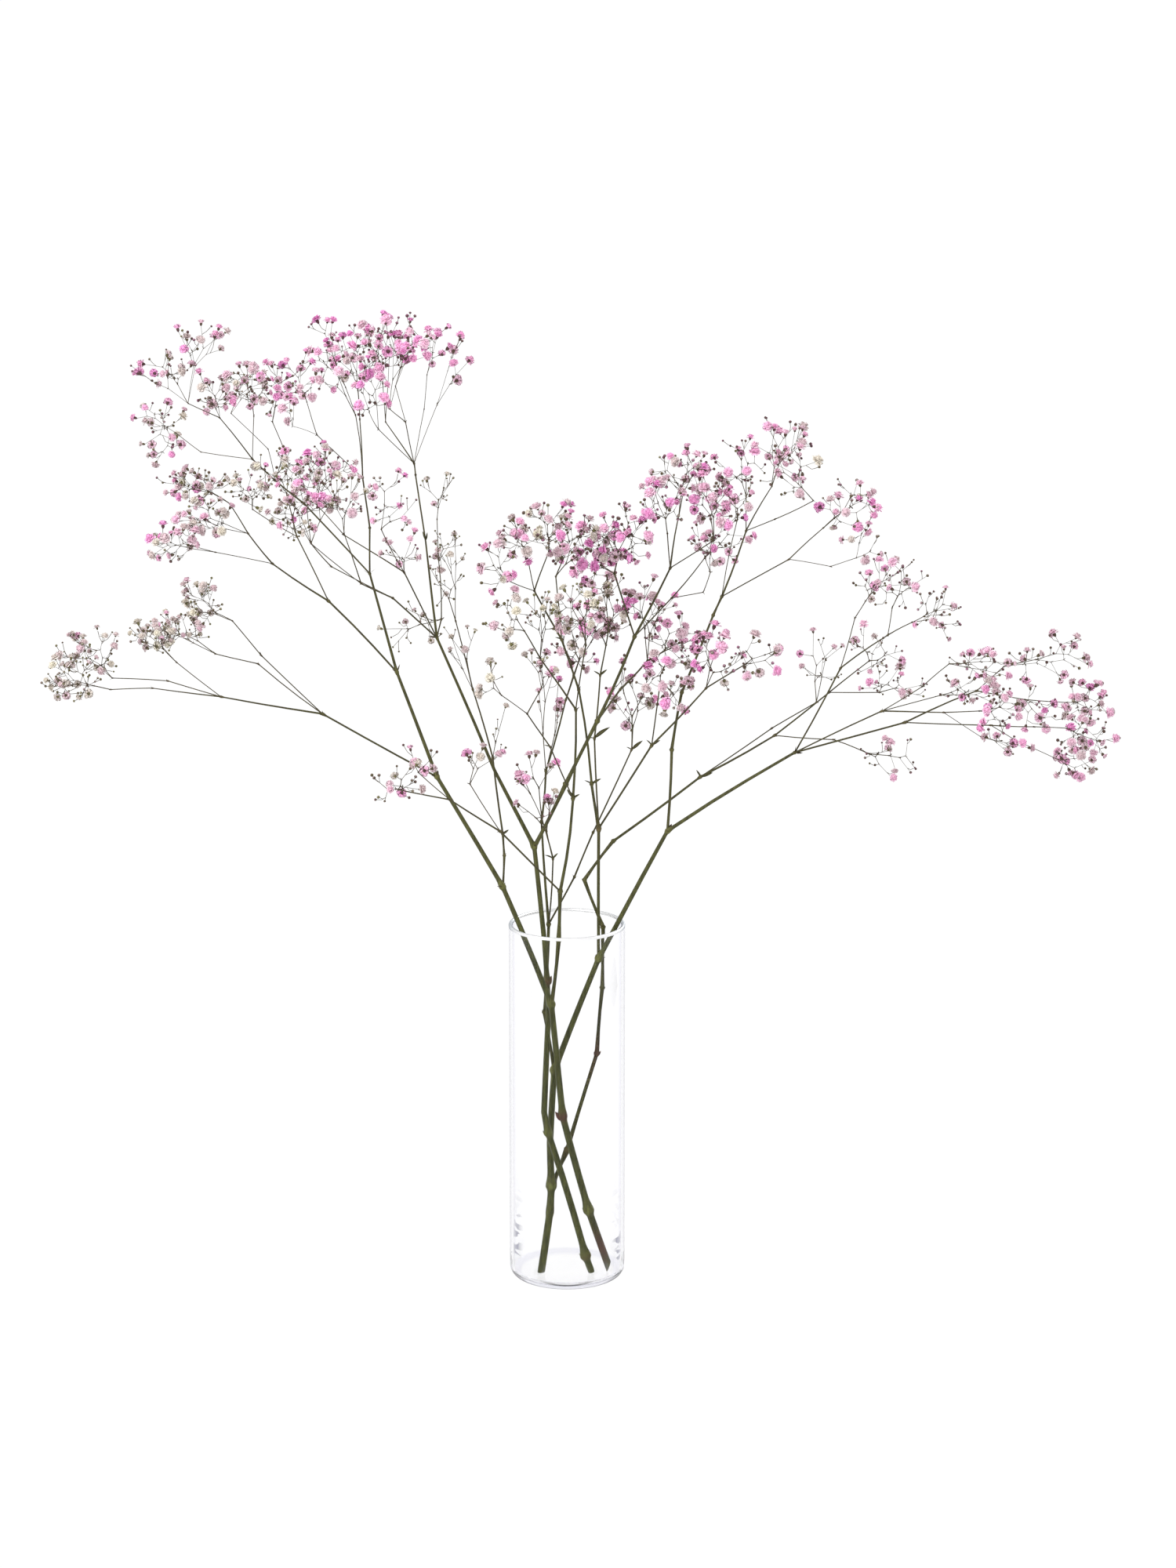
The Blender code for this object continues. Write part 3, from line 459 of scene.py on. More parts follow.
# %% Sheaf
class Sheaf:
    """Vertices, triangles and traits of many small shapes, gathered for one mesh."""

    def __init__(self, *traits):
        self.spots = []
        self.triangles = []
        self.traits = {name: [] for name in traits}
        self.count = 0

    def add(self, spots, triangles, **traits):
        """Take in one shape; a trait may be one number or one for each vertex."""
        self.spots.append(spots)
        self.triangles.append(triangles + self.count)
        for name, gathered in self.traits.items():
            gathered.append(np.broadcast_to(traits.get(name, 0.0), len(spots)))
        self.count += len(spots)

    def make(self, name, material, slot, *nodes):
        """The piece, in metres, smooth, riding on the part in place of these nodes."""
        spots = np.concatenate(self.spots) * MM
        triangles = np.concatenate(self.triangles)
        mesh = bpy.data.meshes.new(name)
        mesh.vertices.add(len(spots))
        mesh.loops.add(triangles.size)
        mesh.polygons.add(len(triangles))
        mesh.vertices.foreach_set("co", spots.astype(np.float32).ravel())
        mesh.loops.foreach_set("vertex_index", triangles.astype(np.int32).ravel())
        mesh.polygons.foreach_set("loop_start", np.arange(0, triangles.size, 3, dtype=np.int32))
        mesh.polygons.foreach_set("use_smooth", np.ones(len(triangles), dtype=bool))
        for trait, gathered in self.traits.items():
            layer = mesh.attributes.new(trait, "FLOAT", "POINT")
            layer.data.foreach_set("value", np.concatenate(gathered).astype(np.float32))
        mesh.update(calc_edges=True)
        mesh.validate()
        mesh.materials.append(material)
        piece = bpy.data.objects.new(name, mesh)
        bpy.context.scene.collection.objects.link(piece)
        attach(piece, "root")
        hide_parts(*nodes)
        return piece


def ring_faces(count, sides):
    """Triangles between neighbouring rings, wound so that they face out."""
    ring, side = np.meshgrid(np.arange(count - 1), np.arange(sides), indexing="ij")
    low, high = ring * sides, (ring + 1) * sides
    after = (side + 1) % sides
    first = np.stack([low + side, low + after, high + after], axis=-1)
    second = np.stack([low + side, high + after, high + side], axis=-1)
    return np.concatenate([first.reshape(-1, 3), second.reshape(-1, 3)])


def fan(ring, sides, hub, flip):
    """Triangles from a hub vertex to one ring."""
    side = np.arange(sides)
    after = (side + 1) % sides
    corners = [ring + side, ring + after] if flip else [ring + after, ring + side]
    return np.stack([*corners, np.full(sides, hub)], axis=-1)


def skin(rings, foot, top):
    """A closed surface over rings of shape (count, sides, 3), with a hub point at each end."""
    count, sides = rings.shape[:2]
    hubs = count * sides
    triangles = np.concatenate([
        ring_faces(count, sides), fan(0, sides, hubs, False), fan(hubs - sides, sides, hubs + 1, True)])
    return np.concatenate([rings.reshape(-1, 3), [foot, top]]), triangles


def whole_turn(sides):
    """Evenly spaced angles all round."""
    return np.linspace(0, math.tau, sides, endpoint=False)


def turned(profile, sides, foot, top):
    """A profile of (radius, height) turned round the z axis and closed at two heights on it:
    x = radius cos turn, y = radius sin turn, z = height."""
    profile = np.array(profile, dtype=float)
    turn = whole_turn(sides)
    rings = np.stack([
        np.outer(profile[:, 0], np.cos(turn)), np.outer(profile[:, 0], np.sin(turn)),
        np.repeat(profile[:, 1:], sides, axis=1)], axis=-1)
    return skin(rings, (0, 0, foot), (0, 0, top))


def unit(rows):
    """Each row divided by its length."""
    return rows / np.maximum(np.linalg.norm(rows, axis=-1, keepdims=True), 1e-9)


print("mesh helpers ready")

# %% [markdown]
# ## The vase
#
# The vase is a straight cylinder of glass, 80 mm across and 254 mm tall, with a 2.5 mm wall, a
# rounded heel and a thick floor. A Screw modifier on a profile would turn it too. Here the
# profile is a list of points and the turning is one array product, which keeps the seam closed.

# %% Turned glass
VASE_RADIUS = 40.0
VASE_HEIGHT = 254.0
WALL = 2.5
VASE_FLOOR = 6.0
HEEL = 8.0
INNER_HEEL = 1.5
LIP_DEPTH = 2.2
LIP_BLEND = 0.4
FLAT_RINGS = (4.0, 18.0)
WALL_RINGS = 20
HEEL_RINGS = 12
LIP_RINGS = 13
CORNER_RINGS = 7
VASE_SIDES = 128
HEEL_TOP = 8.0
HEEL_FADE = 4.0
TINT_START = 30.0
STROKE_ZONE_TOP = 60.0
STROKE_ZONE_FADE = 30.0


def arc(middle, radius, start, stop, count):
    """Points of a circle's arc in radius and height, from one angle in degrees to another."""
    turn = np.radians(np.linspace(start, stop, count))
    return np.stack([middle[0] + radius * np.cos(turn), middle[1] + radius * np.sin(turn)], axis=-1)


def vase_profile():
    """Up the outside from the foot, over the rounded lip and down the inside to the floor."""
    lip, inside = WALL / 2, VASE_RADIUS - WALL
    below_lip = VASE_HEIGHT - LIP_DEPTH
    foot = [(radius, 0.0) for radius in (*FLAT_RINGS, VASE_RADIUS - HEEL)]
    heel = arc((VASE_RADIUS - HEEL, HEEL), HEEL, -90, 0, HEEL_RINGS)[1:]
    up = np.linspace(HEEL, below_lip, WALL_RINGS)[1:]
    outside = [(VASE_RADIUS, h) for h in [*up, below_lip + LIP_BLEND]]
    rim = arc((VASE_RADIUS - lip, VASE_HEIGHT - lip), lip, 0, 180, LIP_RINGS)
    down = np.linspace(below_lip, VASE_FLOOR + INNER_HEEL, WALL_RINGS)[:-1]
    inner = [(inside, h) for h in [below_lip + LIP_BLEND, *down]]
    corner = arc((inside - INNER_HEEL, VASE_FLOOR + INNER_HEEL), INNER_HEEL, 0, -90, CORNER_RINGS)
    floor_rings = [(radius, VASE_FLOOR) for radius in reversed(FLAT_RINGS)]
    return np.concatenate([foot, heel, outside, rim, inner, corner, floor_rings])


def build_vase():
    """The turned profile, and for each vertex how far it belongs to the lip, the heel, the outer part of
    the heel with painted lilac grey shade, and the foot of the inner wall with strokes of painted shade."""
    spots, triangles = turned(vase_profile(), VASE_SIDES, 0.0, VASE_FLOOR)
    height = spots[:, 2]
    reach = np.hypot(spots[:, 0], spots[:, 1])
    lip = np.clip((height - (VASE_HEIGHT - LIP_DEPTH)) / LIP_BLEND, 0, 1)
    heel = np.clip((HEEL_TOP - height) / HEEL_FADE, 0, 1)
    # The outer heel, where lilac grey painted shade goes.
    tint = heel * np.clip((reach - TINT_START) / HEEL_FADE, 0, 1) * (reach > VASE_RADIUS - HEEL + 1)
    inside = (reach < VASE_RADIUS - WALL / 2) & (height > VASE_FLOOR + INNER_HEEL / 2)
    # Where strokes of painted shade go: the inner wall low down.
    wavy = inside * np.clip((STROKE_ZONE_TOP - height) / STROKE_ZONE_FADE, 0, 1)
    sheaf = Sheaf("lip", "heel", "heel_tint", "wavy")
    sheaf.add(spots, triangles, lip=lip, heel=heel, heel_tint=tint, wavy=wavy)
    return sheaf.make("vase_of_clear_glass", glass, "vase_glass", "glass_vase")


vase = build_vase()
print(vase.name, len(vase.data.polygons), "triangles")

# %% [markdown]
# ## Where the stems fork
#
# The forks were read from the photograph, as millimetres across and up on a plane that
# faces the eye, and each got a depth so that the sprays fill the space around the vase. The
# part's solids were made from the same list. A name such as left_stem.fork2 is the fork that the
# next spray grows from.

# %% The routes of the stems and sprays
# Routes: name, what it grows from, across, up, depth
ROUTES = {
    "left_stem": [
        ("cut", "", 30, 1, -13), ("low", "cut", 15, 44, -17), ("mid", "low", -3, 110, -17),
        ("fork1", "mid", -11, 188, -14), ("fork2", "fork1", -45, 270, -4),
        ("fork3", "fork2", -91, 347, 10), ("fork4", "fork3", -119, 420, 20),
        ("fork5", "fork4", -138, 489, 35)],
    "middle_stem": [
        ("cut", "", 17, 1, -16), ("low", "cut", 13, 12, -17), ("kink", "low", -13, 98, -10),
        ("bend", "kink", -16, 113, -8), ("mid", "bend", -13, 183, -2), ("rim", "mid", -16, 233, 4),
        ("fork1", "rim", -23, 298, 12), ("knee", "fork1", -51, 352, 0),
        ("fork2", "knee", -91, 444, -20), ("leaf", "fork2", -99, 512, -5),
        ("end", "leaf", -106, 558, 8)],
    "right_stem": [
        ("cut", "", -18, 1, -15), ("low", "cut", -12, 43, -9), ("fork1", "low", -11, 61, -5),
        ("mid", "fork1", -12, 92, 2), ("fork2", "mid", -9, 142, 10), ("fork3", "fork2", 22, 220, 6),
        ("fork4", "fork3", 70, 309, -25), ("fork5", "fork4", 159, 364, -50)],
    "far_left_spray": [
        ("a", "left_stem.fork3", -171, 391, -30), ("b", "a", -242, 403, -60),
        ("c", "a", -216, 426, -10), ("d", "a", -214, 432, -48), ("e", "b", -290, 409, -75),
        ("f", "b", -279, 414, -50), ("g", "b", -273, 427, -35), ("h", "c", -246, 433, 5),
        ("i", "d", -234, 456, -60), ("j", "e", -319, 408, -85), ("k", "f", -318, 416, -55)],
    "left_spray": [
        ("a", "left_stem.fork4", -167, 470, 5), ("b", "a", -206, 496, -15), ("c", "a", -189, 515, 30),
        ("d", "b", -223, 517, -20), ("e", "b", -246, 504, -50), ("f", "d", -236, 538, -5),
        ("g", "c", -220, 534, 50), ("h", "c", -196, 544, 25)],
    "upper_left_spray": [
        ("a", "left_stem.fork5", -184, 538, 60), ("b", "a", -204, 554, 65), ("c", "b", -220, 569, 60),
        ("d", "c", -243, 598, 40), ("e", "d", -265, 608, 30), ("f", "c", -256, 574, 95),
        ("g", "f", -273, 587, 110), ("h", "c", -219, 599, 85), ("i", "b", -209, 576, 30),
        ("j", "i", -235, 601, 5), ("k", "b", -198, 576, 55), ("l", "k", -206, 595, 50)],
    "top_left_spray": [
        ("a", "left_stem.fork5", -138, 521, 30), ("b", "a", -143, 556, 25), ("c", "b", -148, 600, 5),
        ("d", "b", -145, 597, 50), ("e", "b", -175, 586, -20), ("f", "e", -182, 609, -35),
        ("g", "e", -192, 592, 5)],
    "inner_left_spray": [
        ("a", "left_stem.fork2", -44, 292, 5), ("b", "a", -45, 307, 10), ("c", "b", -52, 360, 25),
        ("d", "c", -66, 408, 40), ("e", "d", -78, 456, 50)],
    "front_spray": [
        ("a", "left_stem.fork1", -6, 233, -16), ("b", "a", -5, 267, -20), ("c", "b", 4, 332, -35),
        ("d", "c", 6, 394, -55), ("e", "c", -12, 368, -55), ("f", "e", -28, 391, -75),
        ("g", "f", -46, 404, -90), ("h", "f", -18, 409, -80), ("i", "d", -19, 430, -80),
        ("j", "i", -30, 449, -90), ("k", "d", 13, 439, -65)],
    "low_left_spray": [
        ("a", "front_spray.b", -47, 309, -40), ("b", "a", -82, 331, -60), ("c", "b", -118, 338, -75),
        ("d", "b", -104, 350, -50), ("e", "a", -68, 342, -25)],
    "top_spray": [
        ("hub", "middle_stem.end", -107, 566, 10), ("a", "hub", -132, 590, -25),
        ("b", "hub", -127, 595, 20), ("c", "hub", -113, 595, -5), ("d", "c", -124, 604, -20),
        ("e", "c", -120, 620, 10), ("f", "hub", -100, 604, 35), ("g", "f", -98, 628, 40),
        ("h", "hub", -91, 607, 65)],
    "mid_left_spray": [
        ("a", "middle_stem.fork2", -122, 472, -45), ("b", "a", -144, 482, -60),
        ("c", "b", -156, 517, -70), ("d", "b", -179, 510, -95), ("e", "a", -165, 494, -40),
        ("f", "e", -179, 510, -50)],
    "inner_mid_spray": [
        ("a", "middle_stem.fork2", -114, 490, -50), ("b", "a", -130, 520, -65),
        ("c", "a", -156, 516, -25), ("d", "c", -175, 537, -15)],
    "middle_side_spray": [
        ("a", "middle_stem.fork2", -88, 457, -5), ("b", "a", -90, 499, 15), ("c", "b", -91, 527, 20)],
    "centre_right_spray": [
        ("a", "middle_stem.fork1", -1, 342, 22), ("b", "a", 21, 386, 25), ("c", "b", 47, 445, 30),
        ("d", "c", 72, 493, 25), ("e", "c", 73, 472, 60), ("f", "d", 70, 517, 0),
        ("g", "d", 78, 530, 35), ("h", "d", 102, 512, 20), ("i", "e", 96, 500, 80),
        ("j", "e", 95, 476, 50), ("k", "j", 100, 490, 70), ("l", "b", 37, 408, 55),
        ("m", "l", 56, 428, 80)],
    "centre_spray": [
        ("a", "centre_right_spray.c", 33, 489, 5)],
    "tall_spray": [
        ("a", "right_stem.fork3", 22, 311, 18), ("b", "a", 17, 342, -8), ("c", "b", 8, 408, -25),
        ("d", "c", -4, 443, -32), ("e", "d", -23, 477, -50), ("f", "e", -41, 484, -75),
        ("g", "e", -28, 502, -60), ("h", "e", -13, 504, -40), ("i", "d", -5, 458, -30),
        ("j", "i", -8, 487, -15), ("k", "a", 19, 374, 45), ("l", "k", 23, 418, 55)],
    "right_low_spray": [
        ("a", "tall_spray.a", 59, 369, -30), ("b", "a", 97, 409, -60), ("c", "b", 125, 426, -70),
        ("d", "a", 65, 413, -30)],
    "back_spray": [
        ("a", "right_stem.fork2", -16, 183, 16), ("b", "a", -13, 244, 22), ("c", "b", -18, 316, 34),
        ("d", "c", -15, 351, 42), ("e", "d", -1, 401, 60), ("f", "b", 5, 277, 38),
        ("g", "f", 18, 308, 52), ("h", "g", 45, 366, 78), ("i", "b", -10, 290, 0)],
    "long_right_spray": [
        ("a", "right_stem.fork1", 0, 87, 8), ("b", "a", 21, 154, 20), ("c", "b", 25, 200, 22),
        ("d", "c", 25, 242, 20), ("e", "d", 12, 275, 28), ("f", "e", 32, 302, 36),
        ("g", "f", 93, 347, 50), ("h", "g", 143, 381, 75), ("i", "g", 145, 376, 45),
        ("j", "h", 174, 399, 95), ("k", "i", 183, 406, 70), ("l", "k", 211, 428, 65),
        ("m", "k", 218, 406, 85), ("n", "i", 186, 373, 25), ("o", "n", 211, 363, 20)],
    "upper_right_spray": [
        ("a", "right_stem.fork4", 73, 366, -20), ("b", "a", 80, 406, -15), ("c", "b", 102, 460, -8),
        ("d", "c", 108, 473, -5), ("e", "d", 155, 499, -30), ("f", "e", 179, 521, -48),
        ("g", "e", 184, 494, -12), ("h", "g", 202, 500, 0), ("i", "d", 125, 519, 15),
        ("j", "i", 145, 527, 5), ("k", "j", 172, 540, -5), ("l", "i", 125, 543, 30),
        ("m", "i", 143, 550, 50), ("n", "d", 119, 527, -25)],
    "right_upper_spray": [
        ("a", "right_stem.fork5", 191, 423, -40), ("b", "a", 224, 446, -60), ("c", "b", 241, 455, -70),
        ("d", "a", 201, 458, -10), ("e", "b", 227, 465, -40)],
    "right_mid_spray": [
        ("a", "right_stem.fork5", 220, 393, -80), ("b", "a", 248, 410, -100),
        ("c", "b", 267, 426, -108), ("d", "a", 261, 404, -68), ("e", "a", 263, 392, -90),
        ("f", "e", 288, 393, -95), ("g", "e", 289, 375, -80)],
    "far_right_spray": [
        ("a", "right_stem.fork5", 236, 385, -20), ("b", "a", 286, 407, 0), ("c", "b", 305, 424, 15),
        ("d", "b", 320, 401, 25), ("e", "a", 296, 383, -15), ("f", "e", 326, 382, -18),
        ("g", "e", 314, 372, 10), ("h", "g", 343, 359, 28), ("i", "d", 349, 399, 30),
        ("j", "f", 349, 381, -10)],
}
print(sum(len(rows) for rows in ROUTES.values()), "hand-read forks in", len(ROUTES), "nodes")

# %% [markdown]
# The blooms sit in loose clouds at the ends of the routes. Each cloud is an ellipsoid with a
# count of blooms.

# %% The clouds of blooms
# Clouds: fork that carries it, centre across, up and depth, half sizes across, up and deep, blooms
CLOUDS = {
    "far_left_spray": [
        ("j", -346, 414, -92, 21, 13, 22, 16), ("k", -335, 432, -55, 23, 14, 25, 16),
        ("g", -292, 445, -35, 18, 11, 20, 12), ("h", -273, 450, 10, 18, 13, 22, 14),
        ("i", -255, 469, -62, 15, 15, 20, 12)],
    "left_spray": [
        ("e", -276, 510, -62, 16, 14, 25, 14), ("d", -255, 527, -35, 19, 13, 25, 14),
        ("f", -261, 549, -5, 23, 14, 28, 22), ("g", -220, 549, 65, 16, 15, 25, 12),
        ("h", -200, 562, 25, 18, 16, 25, 14), ("c", -193, 531, 50, 15, 20, 22, 12)],
    "upper_left_spray": [
        ("g", -286, 589, 122, 19, 22, 28, 16), ("e", -284, 632, 60, 23, 12, 28, 14),
        ("e", -255, 653, 45, 20, 13, 24, 9), ("d", -246, 613, 35, 15, 13, 25, 14),
        ("h", -222, 620, 92, 16, 16, 25, 14), ("j", -222, 625, 5, 18, 14, 22, 10),
        ("l", -204, 618, 48, 16, 19, 25, 14)],
    "top_left_spray": [
        ("f", -187, 626, -45, 14, 19, 22, 12), ("c", -167, 643, -15, 19, 26, 26, 22),
        ("d", -145, 644, 62, 21, 24, 28, 26), ("g", -193, 605, 8, 10, 10, 15, 4)],
    "inner_left_spray": [
        ("e", -83, 494, 60, 14, 25, 24, 8), ("d", -74, 445, 30, 14, 22, 22, 5),
        ("c", -46, 380, 20, 11, 19, 18, 3)],
    "front_spray": [
        ("g", -56, 418, -98, 15, 15, 22, 4), ("h", -18, 430, -90, 14, 14, 20, 5),
        ("j", -41, 457, -98, 16, 20, 24, 10), ("k", 10, 463, -72, 19, 20, 24, 16),
        ("i", -18, 457, -85, 13, 19, 20, 8)],
    "low_left_spray": [
        ("c", -118, 341, -80, 19, 16, 22, 8), ("d", -98, 359, -42, 16, 10, 20, 4),
        ("e", -62, 363, -17, 19, 14, 18, 4)],
    "top_spray": [
        ("a", -139, 620, -42, 15, 21, 24, 12), ("b", -129, 649, 22, 19, 22, 26, 22),
        ("d", -114, 654, -40, 19, 19, 22, 12), ("e", -112, 649, 15, 16, 16, 22, 10),
        ("g", -94, 649, 55, 15, 18, 22, 8), ("h", -78, 644, 80, 11, 24, 20, 6)],
    "mid_left_spray": [
        ("c", -155, 541, -82, 19, 15, 24, 12), ("d", -189, 535, -110, 18, 21, 24, 12),
        ("f", -173, 550, -60, 22, 20, 22, 18)],
    "inner_mid_spray": [
        ("b", -122, 539, -78, 22, 22, 24, 10), ("d", -166, 566, -10, 19, 14, 20, 14),
        ("a", -117, 506, -60, 20, 16, 20, 6)],
    "middle_side_spray": [
        ("c", -91, 549, 30, 15, 20, 20, 7), ("b", -84, 506, 20, 14, 14, 20, 6),
        ("a", -112, 452, 10, 23, 20, 20, 8)],
    "centre_right_spray": [
        ("f", 65, 539, -18, 18, 16, 26, 16), ("g", 81, 561, 42, 21, 21, 28, 20),
        ("h", 99, 544, 15, 19, 20, 26, 16), ("i", 110, 512, 100, 19, 19, 26, 12),
        ("k", 99, 512, 62, 14, 16, 20, 8), ("m", 76, 441, 100, 24, 19, 30, 20),
        ("m", 58, 468, 85, 19, 19, 26, 14)],
    "centre_spray": [
        ("a", 36, 517, 0, 22, 21, 30, 26), ("a", 20, 500, 30, 19, 20, 26, 16)],
    "tall_spray": [
        ("f", -48, 494, -92, 14, 20, 22, 9), ("g", -33, 516, -72, 16, 16, 22, 10),
        ("h", -13, 521, -48, 19, 18, 24, 16), ("j", 4, 511, -14, 19, 20, 26, 20),
        ("l", 28, 465, 62, 22, 26, 28, 22)],
    "right_low_spray": [
        ("c", 134, 431, -78, 23, 18, 24, 10), ("b", 103, 431, -64, 20, 19, 22, 12),
        ("d", 72, 412, -34, 21, 24, 22, 12)],
    "back_spray": [
        ("e", 10, 445, 76, 22, 24, 30, 18), ("h", 48, 408, 92, 20, 28, 26, 12),
        ("i", -23, 339, -6, 18, 24, 16, 9), ("d", -10, 408, 50, 12, 24, 18, 6)],
    "long_right_spray": [
        ("j", 173, 429, 112, 23, 20, 26, 10), ("l", 213, 434, 62, 22, 19, 24, 12),
        ("m", 228, 410, 98, 24, 16, 24, 12), ("o", 229, 359, 15, 22, 15, 22, 10)],
    "upper_right_spray": [
        ("f", 195, 539, -62, 22, 19, 26, 16), ("h", 211, 513, 2, 12, 19, 18, 6),
        ("k", 157, 562, -8, 20, 19, 24, 14), ("l", 121, 566, 38, 19, 19, 26, 14),
        ("m", 152, 583, 66, 20, 21, 26, 18), ("n", 116, 539, -38, 18, 19, 22, 10)],
    "right_upper_spray": [
        ("c", 259, 461, -82, 16, 19, 24, 14), ("e", 235, 480, -45, 18, 18, 24, 12),
        ("d", 218, 486, -2, 19, 16, 22, 12)],
    "right_mid_spray": [
        ("c", 290, 425, -120, 22, 13, 24, 12), ("d", 283, 408, -66, 19, 12, 22, 10),
        ("f", 301, 394, -98, 16, 13, 20, 12), ("g", 307, 369, -82, 16, 11, 18, 6)],
    "far_right_spray": [
        ("c", 338, 429, 32, 31, 18, 26, 14), ("i", 366, 398, 38, 19, 15, 24, 16),
        ("j", 364, 376, -14, 20, 16, 24, 16), ("h", 355, 357, 38, 19, 11, 22, 12),
        ("d", 328, 394, 22, 20, 15, 22, 10)],
}
print(sum(row[-1] for rows in CLOUDS.values() for row in rows), "places for blooms")

# %% [markdown]
# ## Growing the twigs
#
# Between a route's end and its cloud, gypsophila forks in two at every joint. The rule below
# does the same: it parts the blooms that a twig has to reach into two halves, sends a joint part
# of the way to the middle of each half, and starts again from there. It draws its random numbers
# in the same order as the part's solids did, so the joints lie in the same places.

# %% Forks
GIRTH = 0.5
GIRTH_POWER = 0.27
FADE = 530.0
FADE_POWER = 1.5
THINNEST = 0.16


def gauss3(draw):
    """Three normal random numbers."""
    return draw.gauss(0, 1), draw.gauss(0, 1), draw.gauss(0, 1)


def any_way(draw):
    """A direction drawn evenly from all round."""
    return Vector(gauss3(draw)).normalized()


class Fork:
    """A point where a stem or twig bends, forks or ends."""

    def __init__(self, node, at, parent=None, kind="route"):
        self.node = node
        self.at = at
        self.parent = parent
        self.kind = kind
        self.children = []
        self.load = 0
        self.run = 0.0
        if parent:
            self.run = parent.run + (at - parent.at).length
            parent.children.append(self)

    def girth(self):
        """The radius here: GIRTH load ^ power exp(-(run / FADE) ^ power), more for many blooms and
        less far up the stem."""
        fade = math.exp(-(self.run / FADE) ** FADE_POWER)
        return max(THINNEST, GIRTH * self.load ** GIRTH_POWER * fade)

    def way(self):
        """The direction in which the twig comes to this fork."""
        return np.array((self.at - self.parent.at).normalized())


def place(across, up, depth):
    """The point at this depth on the line of sight through a point of the picture plane."""
    ray = Vector((across, 0, 0)) + UP_IN_VIEW * up - EYE
    return EYE + ray * ((depth - EYE.y) / ray.y)


def read_routes():
    """Every fork of the hand-read routes, by its full name."""
    forks = {}
    for node, rows in ROUTES.items():
        for name, parent, across, up, depth in rows:
            key = parent if "." in parent else f"{node}.{parent}"
            forks[f"{node}.{name}"] = Fork(node, place(across, up, depth), forks.get(key))
    return forks


forks = read_routes()
print(len(forks), "forks read")

# %% Growth
SEED = 1
TRIALS = 10
SPREAD = 0.33
STEP = (0.42, 0.6)
STRAY = 0.05


def scatter(draw, cloud):
    """Points spread evenly in a cloud: each point is the one of several draws that is farthest from
    the points before it."""
    _, across, up, depth, wide, high, deep, count = cloud
    points = []
    while len(points) < count:
        trials = []
        for _ in range(TRIALS):
            way = any_way(draw)
            way *= draw.random() ** SPREAD
            trials.append(place(across + way.x * wide, up + way.y * high, depth + way.z * deep))
        points.append(max(trials, key=lambda p: min([(p - q).length for q in points], default=0)))
    return points


def halves(targets):
    """The targets in two groups, parted across the direction in which they spread most."""
    spots = np.array([tuple(point) for point in targets])
    _, axes = np.linalg.eigh(np.cov((spots - spots.mean(axis=0)).T))
    order = np.argsort(spots @ axes[:, -1])
    middle = len(targets) // 2
    return [[targets[i] for i in order[:middle]], [targets[i] for i in order[middle:]]]


def grow(fork, targets, draw):
    """Fork the twig towards the middle of each half of its targets until each ends in one bloom."""
    for half in halves(targets):
        if len(half) == 1:
            Fork(fork.node, half[0], fork, "bloom")
            continue
        middle = sum(half, Vector()) / len(half)
        reach = (middle - fork.at) * draw.uniform(*STEP)
        sway = Vector(gauss3(draw)) * reach.length * STRAY
        grow(Fork(fork.node, fork.at + reach + sway, fork, "twig"), half, draw)


def weigh(fork):
    """Count the blooms that each fork carries."""
    fork.load = sum(weigh(child) for child in fork.children) + (fork.kind == "bloom")
    return fork.load


for node, clouds in CLOUDS.items():
    draw = random.Random(f"{node} {SEED}")
    for cloud in clouds:
        grow(forks[f"{node}.{cloud[0]}"], scatter(draw, cloud), draw)
print("blooms carried by the stems", [weigh(fork) for fork in forks.values() if not fork.parent])

# %% [markdown]
# ## Twigs
#
# A twig is a tube along its forks. Straight tubes between points would look like wire, so the
# path bends softly at each fork, with samples close before and after it where the knuckle
# swells. The tube runs on into the child that carries the most blooms, and each side twig starts
# inside its parent, as a real one does.


# %% Tubes along a path
FULLY_THICK = 2.2
NEAR_KNUCKLE = 1.1
NEAR_SHARE = (0.04, 0.24)
BETWEEN = (0.37, 0.63)
TENSION = 0.3
TIP_LENGTH = 0.4


def soften(points, draw, bow):
    """Samples along a path: a cubic between neighbouring points whose slope at each point is that of
    its neighbours, with the middle of each stretch bowed a little to one side. Gives the samples,
    how far each is from the nearest point of the path, and its place between them."""
    points = np.array([tuple(point) for point in points], dtype=float)
    slopes = np.gradient(points, axis=0) * TENSION
    steps = np.diff(points, axis=0)
    lengths = np.linalg.norm(steps, axis=1)
    slopes[0], slopes[-1] = steps[0] * TENSION, steps[-1] * TENSION
    near = np.clip(NEAR_KNUCKLE / np.maximum(lengths, 1e-6), *NEAR_SHARE)[:, None]
    fraction = np.concatenate([near * 0, near, *(near * 0 + share for share in BETWEEN), 1 - near], axis=1)
    t = fraction[:, :, None]
    start, stop = points[:-1, None], points[1:, None]
    line = start + (stop - start) * (3 * t ** 2 - 2 * t ** 3)
    curve = slopes[:-1, None] * (t ** 3 - 2 * t ** 2 + t) + slopes[1:, None] * (t ** 3 - t ** 2)
    even = start + (stop - start) * t
    side = np.array([gauss3(draw) for _ in lengths])[:, None] * lengths[:, None, None] * bow
    samples = even + (line + curve - even) * TENSION + side * t * (1 - t)
    far = np.minimum(fraction, 1 - fraction) * lengths[:, None]
    spot = np.arange(len(lengths))[:, None] + fraction
    return (np.concatenate([samples.reshape(-1, 3), points[-1:]]), np.append(far.ravel(), 0.0),
            np.append(spot.ravel(), len(lengths)))


